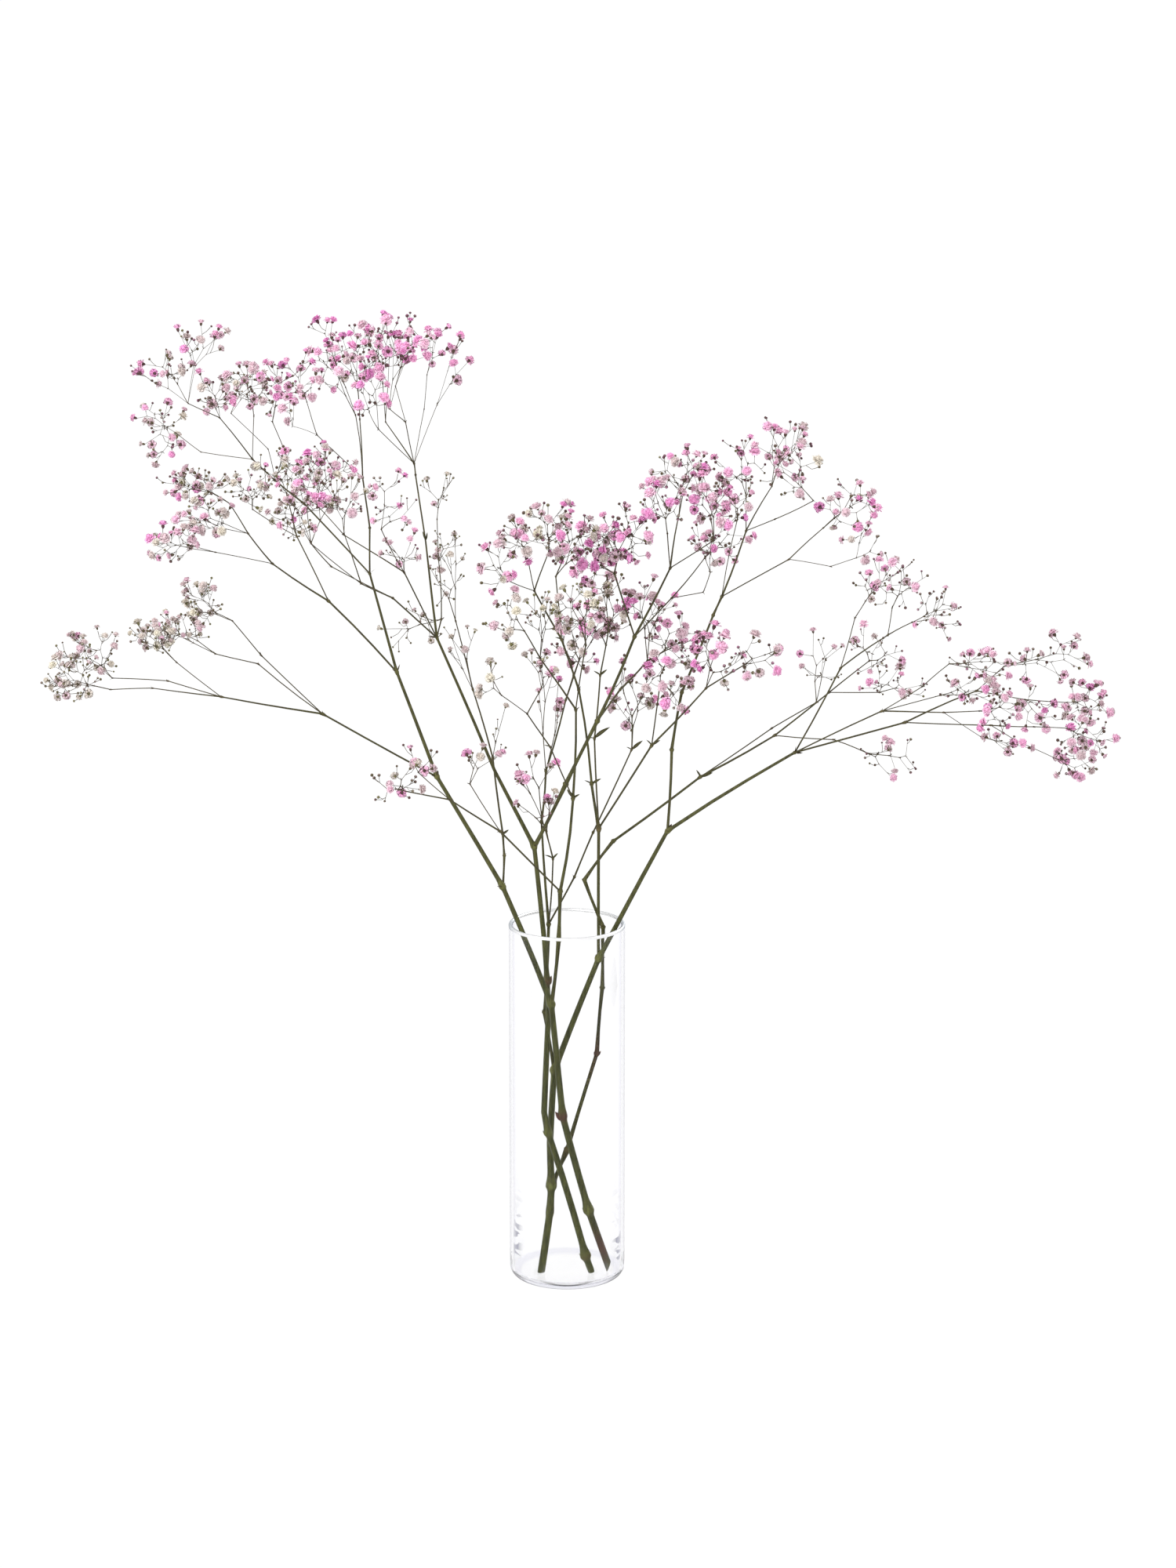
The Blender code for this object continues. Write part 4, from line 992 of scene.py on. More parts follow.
def tube(samples, radii, sides):
    """A closed tube: at each sample a ring of this radius square to the path, and a hub on each end."""
    along = unit(np.gradient(samples, axis=0))
    mean = unit(along.mean(axis=0))
    guess = np.eye(3)[np.argmin(np.abs(mean))]
    across = unit(np.cross(along, guess))
    side = np.cross(along, across)
    turn = whole_turn(sides)
    rings = samples[:, None] + radii[:, None, None] * (
        np.cos(turn)[None, :, None] * across[:, None] + np.sin(turn)[None, :, None] * side[:, None])
    return skin(rings, samples[0], samples[-1] + along[-1] * radii[-1] * TIP_LENGTH)


def add_bark(sheaf, spots, triangles, sides, radius, knuckle, rust):
    """Take a tube into the sheaf, with its samples' values passed on to their rings and hubs."""
    thick = np.clip(radius / FULLY_THICK, 0, 1)
    thick, knuckle, rust = [np.concatenate([np.repeat(values, sides), values[:1], values[-1:]])
                            for values in (thick, knuckle, rust)]
    sheaf.add(spots, triangles, thick=thick, knuckle=knuckle, rust=rust)


print("tubes ready")

# %% Scars
# Fork, share of the way back to the fork before it, reach in mm, strength
SCARS = [
    ("left_stem.low", 0.58, 13.0, 0.85), ("left_stem.mid", 0.0, 3.5, 0.9),
    ("middle_stem.rim", 0.58, 3.0, 0.7), ("middle_stem.low", 0.0, 2.5, 0.3),
    ("long_right_spray.b", 0.0, 3.0, 0.9), ("long_right_spray.a", 0.0, 2.5, 0.4),
    ("tall_spray.a", 0.0, 2.5, 0.4)]


def back_from(name, share):
    """The point this share of the way from a fork back to the one before it."""
    return np.array(forks[name].at.lerp(forks[name].parent.at, share))


def rows_on(table, node):
    """The rows of a table whose fork is on this node."""
    return [row for row in table if row[0].split(".")[0] == node]


def rust_on(samples, node):
    """Rust at each sample: the most of strength exp(-(distance / reach) squared) over the scars."""
    rust = np.zeros(len(samples))
    for name, share, reach, strength in rows_on(SCARS, node):
        far = np.linalg.norm(samples - back_from(name, share), axis=1)
        rust = np.maximum(rust, strength * np.exp(-(far / reach) ** 2))
    return rust


print(len(SCARS), "scars")

# %% [markdown]
# Small pointed bracts sit in pairs at the forks. They are thin closed blades of ten points, which
# is all that a scale 2 mm long needs. The same blade with more points makes the leaves.


# %% Blades and bracts
BRACT_STATIONS = 2
BRACT_WIDTH = 0.42
BRACT_CURL = 0.25
BRACT_RISE = (0.5, 1.3)
BRACT_SIZES = (0.7, 1.25)
BRACT_SEAT = 0.3
BRACT_TRAITS = {"thick": 0.1, "knuckle": 0.3}
BLADE_SKIN = 0.04
LEAST_SKIN = 0.06


def blade(root, way, flat, length, width, curl, stations):
    """A thin closed blade: half its width is w / 2 sin(pi t ^ 0.8) ^ 0.8, either side of a midrib that
    curls by curl t squared and is raised on both faces."""
    t = np.linspace(0, 1, stations + 2)[1:-1]
    face = np.cross(way, flat)
    rib = root + np.outer(t, way) * length + np.outer(t ** 2, face) * curl * length
    half = (width / 2) * np.sin(np.pi * t ** 0.8) ** 0.8
    left, right = rib + half[:, None] * flat, rib - half[:, None] * flat
    thick = face * max(LEAST_SKIN, width * BLADE_SKIN)
    tip = root + way * length + face * curl * length
    spots = np.concatenate([[root], left, rib + thick, right, rib - thick, [tip]])
    columns = [1 + stations * k + np.arange(stations) for k in range(4)]
    triangles = []
    for here, there in zip(columns, columns[1:] + columns[:1]):
        triangles.append([[0, there[0], here[0]], [len(spots) - 1, here[-1], there[-1]]])
        triangles.append(np.stack([here[:-1], there[:-1], there[1:]], axis=-1))
        triangles.append(np.stack([here[:-1], there[1:], here[1:]], axis=-1))
    return spots, np.concatenate([np.reshape(rows, (-1, 3)) for rows in triangles])


def add_bracts(sheaf, fork, draw, length, at=None):
    """Two bracts on opposite sides of a fork, or of another place on the way to it."""
    at = np.array(fork.at) if at is None else at
    along = fork.way()
    across = unit(np.cross(along, gauss3(draw)))
    for hand in (-1, 1):
        way = unit(across * hand + along * draw.uniform(*BRACT_RISE))
        flat = unit(np.cross(way, np.cross(along, way) + 1e-6))
        flat = unit(np.cross(way, flat))
        size = length * draw.uniform(*BRACT_SIZES)
        root = at + across * hand * fork.girth() * BRACT_SEAT
        curl = BRACT_CURL * draw.uniform(-1, 1)
        shape = blade(root, way, flat, size, size * BRACT_WIDTH, curl, BRACT_STATIONS)
        sheaf.add(*shape, **BRACT_TRAITS)


print("bract helpers ready")

# %% [markdown]
# Dried gypsophila keeps a few narrow leaves at its lower forks, curled at the tip. The list says
# which fork each is on, how far it leans from upright to the right as photographed, its length,
# its width and its curl.

# %% Leaves
LEAF_STATIONS = 6
TO_VIEWER = 0.25
HALF_TURN = 0.8
LEAF_SEAT = 0.4
LEAF_TRAITS = {"thick": 0.35, "knuckle": 0.15}
LEAVES = [
    ("tall_spray.k", -75, 7.0, 1.4, 0.1), ("tall_spray.k", 40, 12.0, 3.0, 0.45),
    ("back_spray.h", 42, 10.0, 2.6, 0.2), ("back_spray.h", -50, 4.5, 1.3, 0.2),
    ("right_low_spray.a", -30, 6.0, 1.6, 0.25), ("right_low_spray.a", 48, 6.5, 1.8, 0.3),
    ("long_right_spray.g", 64, 9.0, 2.6, 0.15), ("long_right_spray.g", -20, 6.5, 2.0, 0.2),
    ("front_spray.c", -22, 8.5, 3.4, 0.2), ("front_spray.c", 48, 5.0, 1.6, 0.3),
    ("tall_spray.b", 50, 7.0, 2.0, 0.3), ("tall_spray.b", -48, 6.0, 1.6, 0.25),
    ("back_spray.i", -50, 7.0, 2.0, 0.3), ("back_spray.i", 35, 5.0, 1.5, 0.2),
    ("inner_left_spray.b", 46, 5.0, 1.8, 0.2), ("tall_spray.l", -44, 6.0, 1.8, 0.2),
    ("tall_spray.l", 40, 6.0, 1.8, 0.3), ("middle_stem.leaf", -12, 7.5, 2.0, 0.1),
    ("middle_stem.leaf", 16, 6.5, 1.6, 0.12),
    ("front_spray.e", -60, 4.5, 1.4, 0.2), ("tall_spray.d", -55, 5.0, 1.6, 0.3),
]


def add_leaves(sheaf, node):
    """The leaves on this node: way = right sin lean + up cos lean, half turned to the viewer."""
    for name, lean, length, width, curl in rows_on(LEAVES, node):
        lean = math.radians(lean)
        way = unit(np.array([math.sin(lean), -TO_VIEWER, math.cos(lean)]))
        aside = np.cross(way, (0, 1, 0))
        flat = unit(np.cross(way, np.cross(aside + np.array([0, HALF_TURN, 0]), way)))
        face = np.cross(way, flat)
        bend = curl if face[2] < 0 else -curl
        root = np.array(forks[name].at) + way * forks[name].girth() * LEAF_SEAT
        sheaf.add(*blade(root, way, flat, length, width, bend, LEAF_STATIONS), **LEAF_TRAITS)


print(len(LEAVES), "leaves")

# %% [markdown]
# Some knuckles carry one fat resting bud on a side, pointed and often rust brown. A bud is a
# short tube whose radius rises and falls, half sunk in the knuckle.


# %% Resting buds
# Fork, share of the way back to the fork before it, side (1 is right as photographed), length,
# radius, rust
RESTING_BUDS = [
    ("middle_stem.rim", 0.58, 1, 7.5, 1.35, 0.75), ("left_stem.mid", 0.0, -1, 8.5, 1.7, 0.95),
    ("left_stem.low", 0.0, -1, 6.5, 1.0, 0.0), ("middle_stem.low", 0.0, -1, 7.0, 0.75, 0.0),
    ("right_stem.fork1", 0.0, 1, 6.0, 1.1, 0.1), ("long_right_spray.b", 0.0, 1, 4.5, 1.0, 0.9),
    ("long_right_spray.b", 0.0, -1, 3.5, 0.9, 0.9), ("long_right_spray.a", 0.0, 1, 5.0, 0.85, 0.3),
    ("right_stem.fork3", 0.0, -1, 5.0, 1.1, 0.0), ("left_stem.fork2", 0.0, -1, 4.0, 1.0, 0.3),
    ("middle_stem.kink", 0.0, -1, 5.5, 1.0, 0.0), ("right_stem.fork2", 0.0, 1, 6.5, 1.1, 0.0)]
BUD_SIDES = 8
BUD_SAMPLES = 7
BUD_SUNK = 0.35
BUD_SEAT = 0.7
BUD_UP = 0.93
BUD_ASIDE = 0.3
BUD_TIP = 0.1
TOWARDS_VIEWER = np.array((0, -0.12, 0))
BUD_TRAITS = {"thick": 0.75, "knuckle": 0.9}


def add_resting_buds(sheaf, node):
    """The resting buds on this node: radius = fat sin(pi t ^ 0.7) ^ 0.8 from root to tip."""
    t = np.linspace(0, 1, BUD_SAMPLES)
    for name, share, hand, length, fat, rust in rows_on(RESTING_BUDS, node):
        fork = forks[name]
        along = fork.way()
        aside = unit(np.cross((0, 1, 0), along)) * hand
        root = back_from(name, share) + aside * fork.girth() * BUD_SEAT - along * length * BUD_SUNK
        samples = root + np.outer(t, along * BUD_UP + aside * BUD_ASIDE + TOWARDS_VIEWER) * length
        radii = np.maximum(fat * np.sin(np.pi * t ** 0.7) ** 0.8, BUD_TIP)
        sheaf.add(*tube(samples, radii, BUD_SIDES), rust=rust, **BUD_TRAITS)


print(len(RESTING_BUDS), "resting buds")

# %% [markdown]
# ## Blooms
#
# A double gypsophila bloom is a small ruffled rosette: two dozen blunt petals in four rounds, the
# outer ones spread, the inner ones upright, held by a green brown calyx. At 8 mm across and
# hundreds of copies, each petal may only have a few faces. Each is a thin closed lens of twelve
# points: a root, two rows of three across, and a tip whose middle is a little notched. The real
# bloom is packed with small inner petals down to its heart. They can't be told apart, so a small
# petal coloured heart fills the gaps between the roots of the others.


# %% One petal
STATIONS = np.array([0.0, 0.36, 0.74, 1.0])
OUTLINE = np.array([0.0, 0.7, 1.0, 0.7])
RUFFLE = np.array([0.0, 0.1, 0.3, 0.42])
PETAL_SKIN = 0.08
ROOT_OUT = 0.3
NOTCH = (-0.03, 0.12)
# How pale each point of a petal is: painted shade at the root and down the middle, painted light at the rim
# and tip.
PETAL_SHADE_TO_LIGHT = np.array([0.0, 0.5, 0.3, 0.5, 0.85, 0.55, 0.85, 1.0, 0.85, 1.0, 0.3, 0.55])
HALF_FACES = np.array([(0, 1, 2), (0, 2, 3), (1, 4, 5), (1, 5, 2), (2, 5, 6), (2, 6, 3),
                       (4, 7, 8), (4, 8, 5), (5, 8, 9), (5, 9, 6)])
UNDERSIDE = np.array([0, 1, 10, 3, 4, 11, 6, 7, 8, 9, 10, 11])


def petal(turn, lean, length, width, lift, draw):
    """A petal that leaves the bloom's axis at angle turn: along it, out grows by cos lean and up by
    sin lean, the lean falls by 0.15 + 0.45 cos lean to the tip, and both edges are ruffled."""
    leans = lean - (0.15 + 0.45 * math.cos(lean)) * STATIONS
    step = np.diff(STATIONS, prepend=0.0) * length
    out = ROOT_OUT + np.cumsum(step * np.cos(leans))
    up = lift + np.cumsum(step * np.sin(leans))
    wave = np.array([[draw.uniform(-1, 1), draw.uniform(-1, 1)] for _ in STATIONS]) * RUFFLE[:, None]
    dips = np.array([0.0, 0.0, draw.uniform(*NOTCH) * length])
    rows = np.zeros((3, 3, 3))
    rows[:, :, 0] = out[1:, None]
    rows[:, :, 2] = up[1:, None]
    rows[:, 0, 1] = OUTLINE[1:] * width / 2
    rows[:, 2, 1] = -OUTLINE[1:] * width / 2
    rows[:, 0, 2] += wave[1:, 0]
    rows[:, 2, 2] += wave[1:, 1]
    rows[:, 1, 0] -= dips * np.cos(leans[1:])
    rows[:, 1, 2] -= dips * np.sin(leans[1:])
    skin = np.array([-math.sin(leans[2]), 0.0, math.cos(leans[2])]) * PETAL_SKIN
    spots = np.concatenate([[(out[0], 0.0, up[0])], rows.reshape(-1, 3), rows[:2, 1] - skin])
    spots[[2, 5]] += skin
    c, s = math.cos(turn), math.sin(turn)
    spots = spots @ np.array([[c, s, 0], [-s, c, 0], [0, 0, 1]])
    return spots, np.concatenate([HALF_FACES[:, ::-1], UNDERSIDE[HALF_FACES]])


print("triangles in a petal", 2 * len(HALF_FACES))

# %% Blooms and buds
# Rounds of petals: how many, their lean from level in degrees, their length
ROUNDS = [(7, 10, 3.7), (6, 33, 3.4), (5, 55, 3.0), (4, 75, 2.5)]
# Turned shapes: radius and height of each ring
CALYX = [(0.34, -2.1), (0.95, -1.3), (1.2, -0.3), (0.95, 0.5)]
HEART = np.array([(0.8, 0.2), (2.0, 0.9), (2.2, 1.6), (1.3, 2.4)])
BUD = np.array([(0.3, -1.1), (0.88, -0.7), (1.15, 0.0), (0.88, 0.7), (0.32, 1.1)])
BUD_HALF = 1.1
BUD_FORMS = 3
BUD_WIDTHS = (0.9, 1.1)
FORM_SIDES = 6
FOOT_POINT = 0.05
TOP_POINT = 0.15
CALYX_EDGE = 0.2
HEART_EDGE = 0.45
PETAL_WIDTH = 0.92
PETAL_SIZES = (0.86, 1.1)
STRAY_TURN = 0.2
STRAY_LEAN = 8
# How much less pale each round further in is: painted shade deep in the bloom.
INNER_ROUND_SHADE = 0.13


def small_form(profile):
    """A small turned shape that ends in a point at both ends."""
    return turned(profile, FORM_SIDES, profile[0][1] - FOOT_POINT, profile[-1][1] + TOP_POINT)


def bloom_form(draw, openness):
    """A bloom that stands on its calyx at the origin and looks up. Openness makes the heart wide, the
    petals long and their lean low: lean = 90 - (90 - its round's lean) openness."""
    sheaf = Sheaf("edge", "green")
    sheaf.add(*small_form(CALYX), edge=CALYX_EDGE, green=1.0)
    sheaf.add(*small_form(HEART * (0.55 + 0.45 * openness, 1.0)), edge=HEART_EDGE)
    for rank, (count, lean, length) in enumerate(ROUNDS):
        first = draw.uniform(0, math.tau)
        for k in range(count):
            turn = first + math.tau * k / count + draw.uniform(-STRAY_TURN, STRAY_TURN)
            steep = 90 - (90 - lean - draw.uniform(-STRAY_LEAN, STRAY_LEAN)) * openness
            size = length * draw.uniform(*PETAL_SIZES) * (0.8 + 0.2 * openness)
            lift = 0.1 + 0.012 * lean
            shape = petal(turn, math.radians(steep), size, size * PETAL_WIDTH, lift, draw)
            # Inner rounds get less of the pale colour: painted shade deep in the bloom.
            sheaf.add(*shape, edge=PETAL_SHADE_TO_LIGHT * (1 - INNER_ROUND_SHADE * rank))
    return (np.concatenate(sheaf.spots), np.concatenate(sheaf.triangles),
            np.concatenate(sheaf.traits["edge"]), np.concatenate(sheaf.traits["green"]))


def bud_form(draw):
    """A round bud with a coloured tip: edge = 0.6 h and green = 2 - 1.4 h, held from 0.45 to 1, where
    h runs from 0 at its foot to 1 at its top."""
    profile = BUD.copy()
    profile[1:-1, 0] *= draw.uniform(*BUD_WIDTHS)
    spots, triangles = small_form(profile)
    height = (spots[:, 2] + BUD_HALF) / (2 * BUD_HALF)
    return spots, triangles, height * 0.6, np.clip(2.0 - height * 1.4, 0.45, 1)


OPENNESS = (1.05, 0.95, 1.0, 0.9, 0.8, 0.7, 0.55, 0.4)
draw = random.Random("forms")
FORMS = {"bloom": [bloom_form(draw, openness) for openness in OPENNESS],
         "bud": [bud_form(draw) for _ in range(BUD_FORMS)]}
print("triangles in a bloom", len(FORMS["bloom"][0][1]), "and in a bud", len(FORMS["bud"][0][1]))

# %% [markdown]
# Hundreds of blooms are placed at once: one rotation matrix for each, multiplied with the points
# of its form. Instances would be lighter in memory, but the finished part needs real meshes.


# %% Place many copies of one form
NEARLY_UPRIGHT = 0.9


def set_out(sheaf, form, roots, ways, spins, sizes, tints):
    """Copies of a form: point = root + size (x a + y b + z way), where a and b are square to way."""
    spots, triangles, edge, green = form
    ways = unit(ways)
    guess = np.where(np.abs(ways[:, 2:]) < NEARLY_UPRIGHT, [[0, 0, 1.0]], [[1.0, 0, 0]])
    aside = unit(np.cross(ways, guess))
    other = np.cross(ways, aside)
    a = aside * np.cos(spins)[:, None] + other * np.sin(spins)[:, None]
    b = np.cross(ways, a)
    axes = np.stack([a, b, ways], axis=1)
    placed = roots[:, None] + (spots @ axes) * sizes[:, None, None]
    count = len(roots)
    shift = (np.arange(count) * len(spots))[:, None, None]
    sheaf.add(placed.reshape(-1, 3), (triangles + shift).reshape(-1, 3), edge=np.tile(edge, count),
              green=np.tile(green, count), tint=np.repeat(tints, len(spots)))


print("copies ready")

# %% [markdown]
# ## The look of each spray
#
# The photograph's sprays differ: the top ones are large and vivid, the left ones small and dusty,
# the ones in the middle mixed with cream. For each spray this list has the middle and the spread
# of its tint, the size of its blooms, the share of its twigs that end in an open bloom, and how
# many other heads stand beside such a bloom on the average.

# %% Tint, spread, size, share of open blooms and company of each
LOOKS = {
    "far_left_spray": (0.27, 0.16, 0.78, 0.8, 2.9), "left_spray": (0.4, 0.24, 0.9, 0.74, 1.4),
    "upper_left_spray": (0.54, 0.24, 0.9, 0.72, 0.9), "top_left_spray": (0.72, 0.18, 0.95, 0.76, 0.35),
    "inner_left_spray": (0.24, 0.12, 0.74, 0.62, 1.1), "front_spray": (0.24, 0.2, 0.92, 0.66, 1.1),
    "low_left_spray": (0.5, 0.2, 0.94, 0.7, 1.0), "top_spray": (0.8, 0.14, 0.99, 0.8, 0.35),
    "mid_left_spray": (0.52, 0.24, 0.84, 0.76, 1.6), "inner_mid_spray": (0.62, 0.22, 0.84, 0.76, 1.5),
    "middle_side_spray": (0.26, 0.14, 0.74, 0.52, 1.1), "centre_right_spray": (0.66, 0.22, 1.0, 0.76, 0.8),
    "centre_spray": (0.7, 0.2, 1.02, 0.8, 1.2), "tall_spray": (0.56, 0.28, 1.03, 0.76, 1.15),
    "right_low_spray": (0.62, 0.22, 1.08, 0.8, 1.3), "back_spray": (0.6, 0.25, 1.04, 0.78, 1.25),
    "long_right_spray": (0.58, 0.2, 0.86, 0.56, 0.4), "upper_right_spray": (0.64, 0.22, 0.97, 0.72, 0.65),
    "right_upper_spray": (0.6, 0.2, 0.88, 0.58, 0.4), "right_mid_spray": (0.6, 0.2, 0.92, 0.76, 1.0),
    "far_right_spray": (0.64, 0.17, 0.96, 0.78, 1.0),
}
print(len(LOOKS), "looks")


# %% [markdown]
# Each twig ends in an open bloom, or in two or three buds on short stalks. Many open blooms have
# buds or a second bloom beside them on side stalks, because the plant opens its flowers one after
# another.


# %% Runs of forks
def lines_of(first):
    """All runs of forks from this one on, each running on into the child with the most blooms."""
    lines = []
    waiting = [first]
    while waiting:
        line = [waiting.pop()]
        while True:
            own = [child for child in line[-1].children if child.node == line[-1].node]
            if not own:
                break
            runs_on = max(own, key=lambda child: child.load)
            waiting += [child for child in own if child is not runs_on]
            line.append(runs_on)
        lines.append(line)
    return lines


def twig_radius(fork):
    """The girth times 1.1 - 0.42 / (1 + load / 3), so that the last twigs are thin threads."""
    return fork.girth() * (1.1 - 0.42 / (1 + fork.load / 3))


print("runs in the top spray", len(lines_of(forks["top_spray.hub"])))

# %% Heads
# How far a head stands off its twig's end, and the least and the most of its size
SEATS = {"bloom": 2.1, "bud": 1.0}
SIZES = {"bloom": (0.74, 1.16), "bud": (0.675, 1.08)}


class Heads:
    """Blooms and buds to place: roots, ways, sizes and tints, sorted by form."""

    def __init__(self, look, draw):
        self.look = look
        self.draw = draw
        self.rows = {}

    def add(self, kind, root, way):
        """Note one head, with its own size and tint."""
        tint, spread, size = self.look[:3]
        form = self.draw.randrange(len(FORMS[kind]))
        size *= self.draw.uniform(*SIZES[kind])
        spin = self.draw.uniform(0, math.tau)
        tint = min(1.0, max(0.0, self.draw.gauss(tint, spread)))
        self.rows.setdefault((kind, form), []).append((*root, *way, spin, size, tint))

    def set_out(self, sheaf):
        """Place every head in the sheaf."""
        for (kind, form), rows in sorted(self.rows.items()):
            rows = np.array(rows)
            set_out(sheaf, FORMS[kind][form], rows[:, :3], rows[:, 3:6], *rows[:, 6:].T)


print("heads ready")

# %% Twigs and stalks
TWIG_BULGE = 0.9
TWIG_BOW = 0.03
KNUCKLE_REACH = 1.5
KNUCKLE_LEAST = 0.7
STALK_SIDES = 4
SMOOTH_END = 0.3
STALK_RADII = [0.19, 0.16, 0.2]
STALK_RISE = 0.45
STALK_STRAY = 0.2
BLOOM_STALK = (5.0, 10.5)
BUD_STALK = (3.5, 7.5)
SIDE_BLOOMS = 0.32
BLOOM_RISE = 0.35
BLOOM_STRAY = 0.35
# Beside a bloom and beside a bud: where along the last stretch side stalks leave, and their stray
SIDES = {"bloom": ((0.25, 0.7), 0.9), "bud": ((0.45, 0.85), 0.8)}
UP = Vector((0, 0, 1))


def add_tube(sheaf, points, radii, draw, sides, bulge=TWIG_BULGE, node=""):
    """A twig: its radius goes evenly from point to point and swells by bulge near each fork, but not
    at its end."""
    samples, far, spot = soften(points, draw, TWIG_BOW)
    radius = np.interp(spot, np.arange(len(radii)), radii)
    swell = np.exp(-(far / np.maximum(radius * KNUCKLE_REACH, KNUCKLE_LEAST)) ** 2)
    swell[spot > len(radii) - 1 - SMOOTH_END] = 0.0
    spots, triangles = tube(samples, radius * (1 + bulge * swell), sides)
    add_bark(sheaf, spots, triangles, sides, radius, swell, rust_on(samples, node))


def add_stalk(sheaf, heads, start, way, length, draw, kind="bud"):
    """A short stalk that leaves a point, bends up and ends in a head."""
    middle = start + way * length * 0.5
    bent = way * 0.8 + UP * STALK_RISE + any_way(draw) * STALK_STRAY
    stop = middle + bent.normalized() * length * 0.5
    add_tube(sheaf, [start, middle, stop], STALK_RADII, draw, STALK_SIDES, 0.0)
    aim = (stop - middle).normalized()
    heads.add(kind, stop + aim * SEATS[kind], aim)


def leave_aside(kind, before, end, draw):
    """Where a side stalk leaves a twig's last stretch, and its direction."""
    (low, high), stray = SIDES[kind]
    at = before.lerp(end, draw.uniform(low, high))
    return at, ((end - before).normalized() + any_way(draw) * stray).normalized()


def end_twig(sheaf, heads, line, draw, start):
    """What a twig's last fork carries: a bloom, perhaps with other heads beside it, or a few buds."""
    end = line[-1].at
    before = line[-2].at if len(line) > 1 else start
    way = (end - before).normalized()
    aim = (way + UP * BLOOM_RISE + any_way(draw) * BLOOM_STRAY).normalized()
    open_share, company = heads.look[3:]
    if draw.random() < open_share:
        heads.add("bloom", end + aim * SEATS["bloom"] * 0.6, aim)
        for _ in range(int(company + draw.random())):
            at, side = leave_aside("bloom", before, end, draw)
            kind = "bloom" if draw.random() < SIDE_BLOOMS else "bud"
            add_stalk(sheaf, heads, at, side, draw.uniform(*BLOOM_STALK), draw, kind)
    else:
        heads.add("bud", end + way * SEATS["bud"] * 0.8, way)
        for _ in range(draw.choice((1, 1, 2))):
            at, side = leave_aside("bud", before, end, draw)
            add_stalk(sheaf, heads, at, side, draw.uniform(*BUD_STALK), draw)


print("stalks", BUD_STALK[0], "to", BLOOM_STALK[1], "mm long")

# %% One spray after another
ROUTE_SIDES = 6
TWIG_SIDES = 5
BRACT_SHARE = 0.75
BRACT_LENGTH = 1.6
BRACT_GROWTH = 1.2


def build_spray(node):
    """The twigs of one spray as one mesh, and its blooms and buds as another."""
    draw = random.Random(f"{node} looks")
    twigs = Sheaf("thick", "knuckle", "rust")
    heads = Heads(LOOKS[node], draw)
    for line in lines_of(forks[f"{node}.{ROUTES[node][0][0]}"]):
        start = line[0].parent.at
        points = [start] + [fork.at for fork in line]
        radii = [twig_radius(fork) for fork in [line[0], *line]]
        on_route = line[0].kind == "route"
        sides = ROUTE_SIDES if on_route else TWIG_SIDES
        add_tube(twigs, points, radii, draw, sides, node=node if on_route else "")
        for fork in line:
            if fork.children and draw.random() < BRACT_SHARE:
                add_bracts(twigs, fork, draw, BRACT_LENGTH + fork.girth() * BRACT_GROWTH)
        if line[-1].kind == "bloom":
            end_twig(twigs, heads, line, draw, start)
    add_leaves(twigs, node)
    add_resting_buds(twigs, node)
    blooms = Sheaf("tint", "edge", "green")
    heads.set_out(blooms)
    stalks = twigs.make(f"{node}_twigs", bark, "stem_green", node)
    flowers = blooms.make(f"{node}_blooms", petal_paint, "dried_bloom", node)
    return len(stalks.data.polygons), len(flowers.data.polygons)


counts = [build_spray(node) for node in CLOUDS]
print("triangles of twigs and of blooms", np.sum(counts, axis=0))

# %% [markdown]
# ## The three cut stems
#
# The main stems are 3 to 5 mm thick, with long faint ribs, a bulging knuckle at each fork and a
# slanted cut at the foot. They are sampled more finely than the twigs, because the glass shows
# them close up.


# %% Knuckles and cuts
SAMPLE_STEP = 1.1
SLANT = {"left_stem": 1.7, "middle_stem": 0.25, "right_stem": 0.1}
SLANT_REACH = 16.0
LEAST_SAMPLES = 4
REACH_ABOVE = 2.3
REACH_BELOW = 0.9
# Knuckles without a fork: fork, share of the way back to the one before it, strength
BARE_KNUCKLES = [
    ("left_stem.low", 0.0, 1.0), ("left_stem.mid", 0.0, 0.8), ("middle_stem.low", 0.0, 1.1),
    ("middle_stem.kink", 0.0, 0.6), ("middle_stem.rim", 0.58, 0.9), ("right_stem.low", 0.0, 0.3)]


def resample(samples, values, step):
    """The path and its values again at even steps along its length."""
    run = np.append(0.0, np.cumsum(np.linalg.norm(np.diff(samples, axis=0), axis=1)))
    even = np.linspace(0, run[-1], max(LEAST_SAMPLES, int(run[-1] / step)))
    path = np.stack([np.interp(even, run, samples[:, k]) for k in range(3)], axis=-1)
    return path, [np.interp(even, run, value) for value in values]


def swell_on(samples, node, rows):
    """How much a stem swells at each sample, at each fork that parts and at its bare knuckles:
    exp(-(distance / reach) squared), with a long reach above the knuckle and a short one below."""
    parting = [fork for fork in rows[1:] if len(fork.children) > 1 or fork is rows[-1]]
    knots = [(np.array(fork.at), 1.0, fork) for fork in parting]
    for name, share, strength in rows_on(BARE_KNUCKLES, node):
        knots.append((back_from(name, share), strength, forks[name]))
    swell = np.zeros(len(samples))
    for spot, strength, fork in knots:
        far = np.linalg.norm(samples - spot, axis=1)
        above = np.arange(len(samples)) > np.argmin(far)
        reach = fork.girth() * np.where(above, REACH_ABOVE, REACH_BELOW)
        swell = np.maximum(swell, strength * np.exp(-(far / reach) ** 2))
    return swell


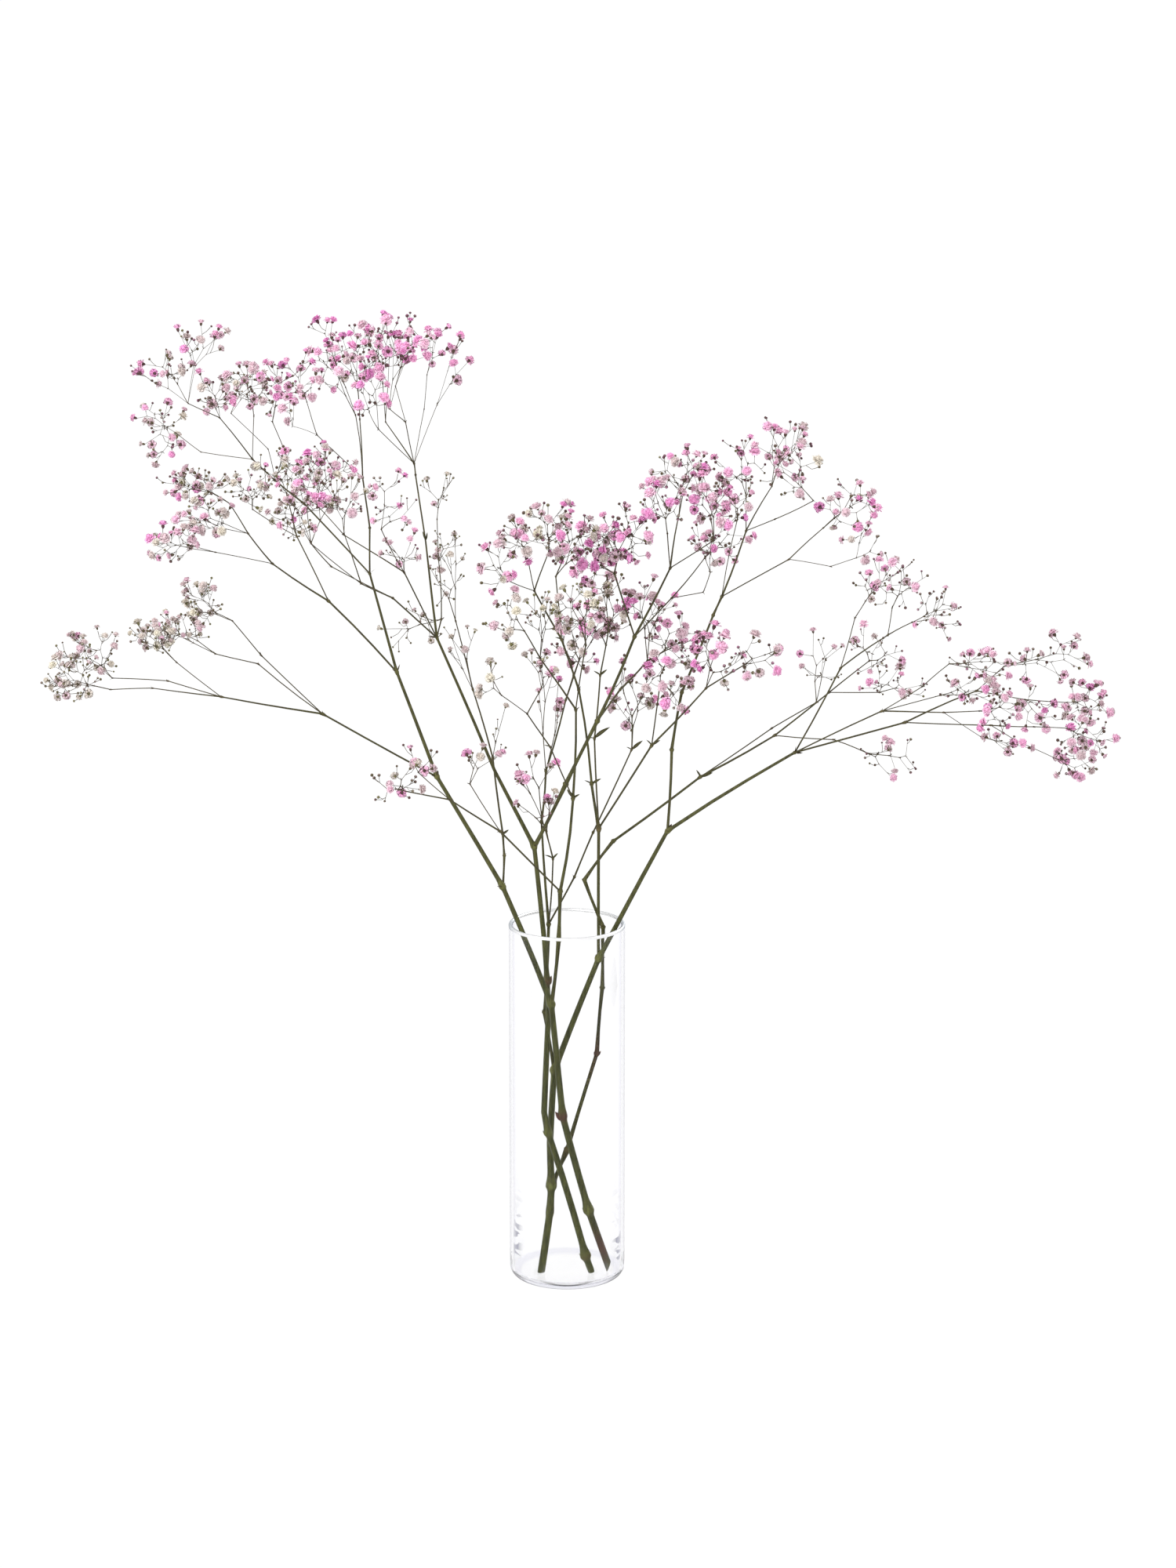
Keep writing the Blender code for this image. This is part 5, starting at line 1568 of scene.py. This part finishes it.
def cut_slanting(rings, samples, slant):
    """The foot of a stem, cut so that its left side is the longest: each point moves up the stem by
    slant times its distance from the left edge, less and less until SLANT_REACH up the stem."""
    along = unit(samples[3] - samples[0])
    run = np.arange(len(samples)) * SAMPLE_STEP
    across = rings[:, :, 0] - rings[:, :, 0].min(axis=1, keepdims=True)
    move = slant * across * np.clip(1 - run / SLANT_REACH, 0, 1)[:, None]
    return rings + move[:, :, None] * along


print(len(BARE_KNUCKLES), "knuckles without a fork")

# %% Stems
STEM_SIDES = 14
STEM_BOW = 0.012
RIBS = 5
RIB = 0.035
KNUCKLE_SWELL = 0.6
CUT_HEIGHT = 0.3
LEAST_CLEARANCE = 0.1
FORK_BRACTS = 5.0
KNUCKLE_BRACTS = 3.5
BRACTS_FROM = 0.5


def build_stem(node):
    """One stem as a ribbed tube: radius = girth (1 + swell at knuckles) (1 + RIB cos RIBS turn)."""
    draw = random.Random(f"{node} looks")
    rows = [forks[f"{node}.{row[0]}"] for row in ROUTES[node]]
    points = [fork.at for fork in rows]
    samples, _, spot = soften(points, draw, STEM_BOW)
    radii = np.interp(spot, np.arange(len(rows)), [fork.girth() for fork in rows])
    samples, (radii, spot) = resample(samples, [radii, spot], SAMPLE_STEP)
    swell = swell_on(samples, node, rows)
    spots, triangles = tube(samples, radii * (1 + KNUCKLE_SWELL * swell), STEM_SIDES)
    count = len(samples) * STEM_SIDES
    turn = np.tile(whole_turn(STEM_SIDES), len(samples))
    centre = np.repeat(samples, STEM_SIDES, axis=0)
    spots[:count] = centre + (spots[:count] - centre) * (1 + RIB * np.cos(RIBS * turn))[:, None]
    spots[:STEM_SIDES, 2] = VASE_FLOOR + CUT_HEIGHT
    rings = cut_slanting(spots[:count].reshape(-1, STEM_SIDES, 3), samples, SLANT[node])
    spots[:count] = rings.reshape(-1, 3)
    spots[:count, 2] = np.maximum(spots[:count, 2], VASE_FLOOR + LEAST_CLEARANCE)
    spots[count] = rings[0].mean(axis=0)
    sheaf = Sheaf("thick", "knuckle", "rust")
    add_bark(sheaf, spots, triangles, STEM_SIDES, radii, swell, rust_on(samples, node))
    for fork in rows[1:]:
        if len(fork.children) > 1:
            add_bracts(sheaf, fork, draw, FORK_BRACTS)
    for name, share, strength in rows_on(BARE_KNUCKLES, node):
        if strength > BRACTS_FROM:
            add_bracts(sheaf, forks[name], draw, KNUCKLE_BRACTS, back_from(name, share))
    add_leaves(sheaf, node)
    add_resting_buds(sheaf, node)
    return sheaf.make(f"{node}_bark", bark, "stem_green", node)


for node in SLANT:
    stem = build_stem(node)
    print(stem.name, len(stem.data.polygons), "triangles")
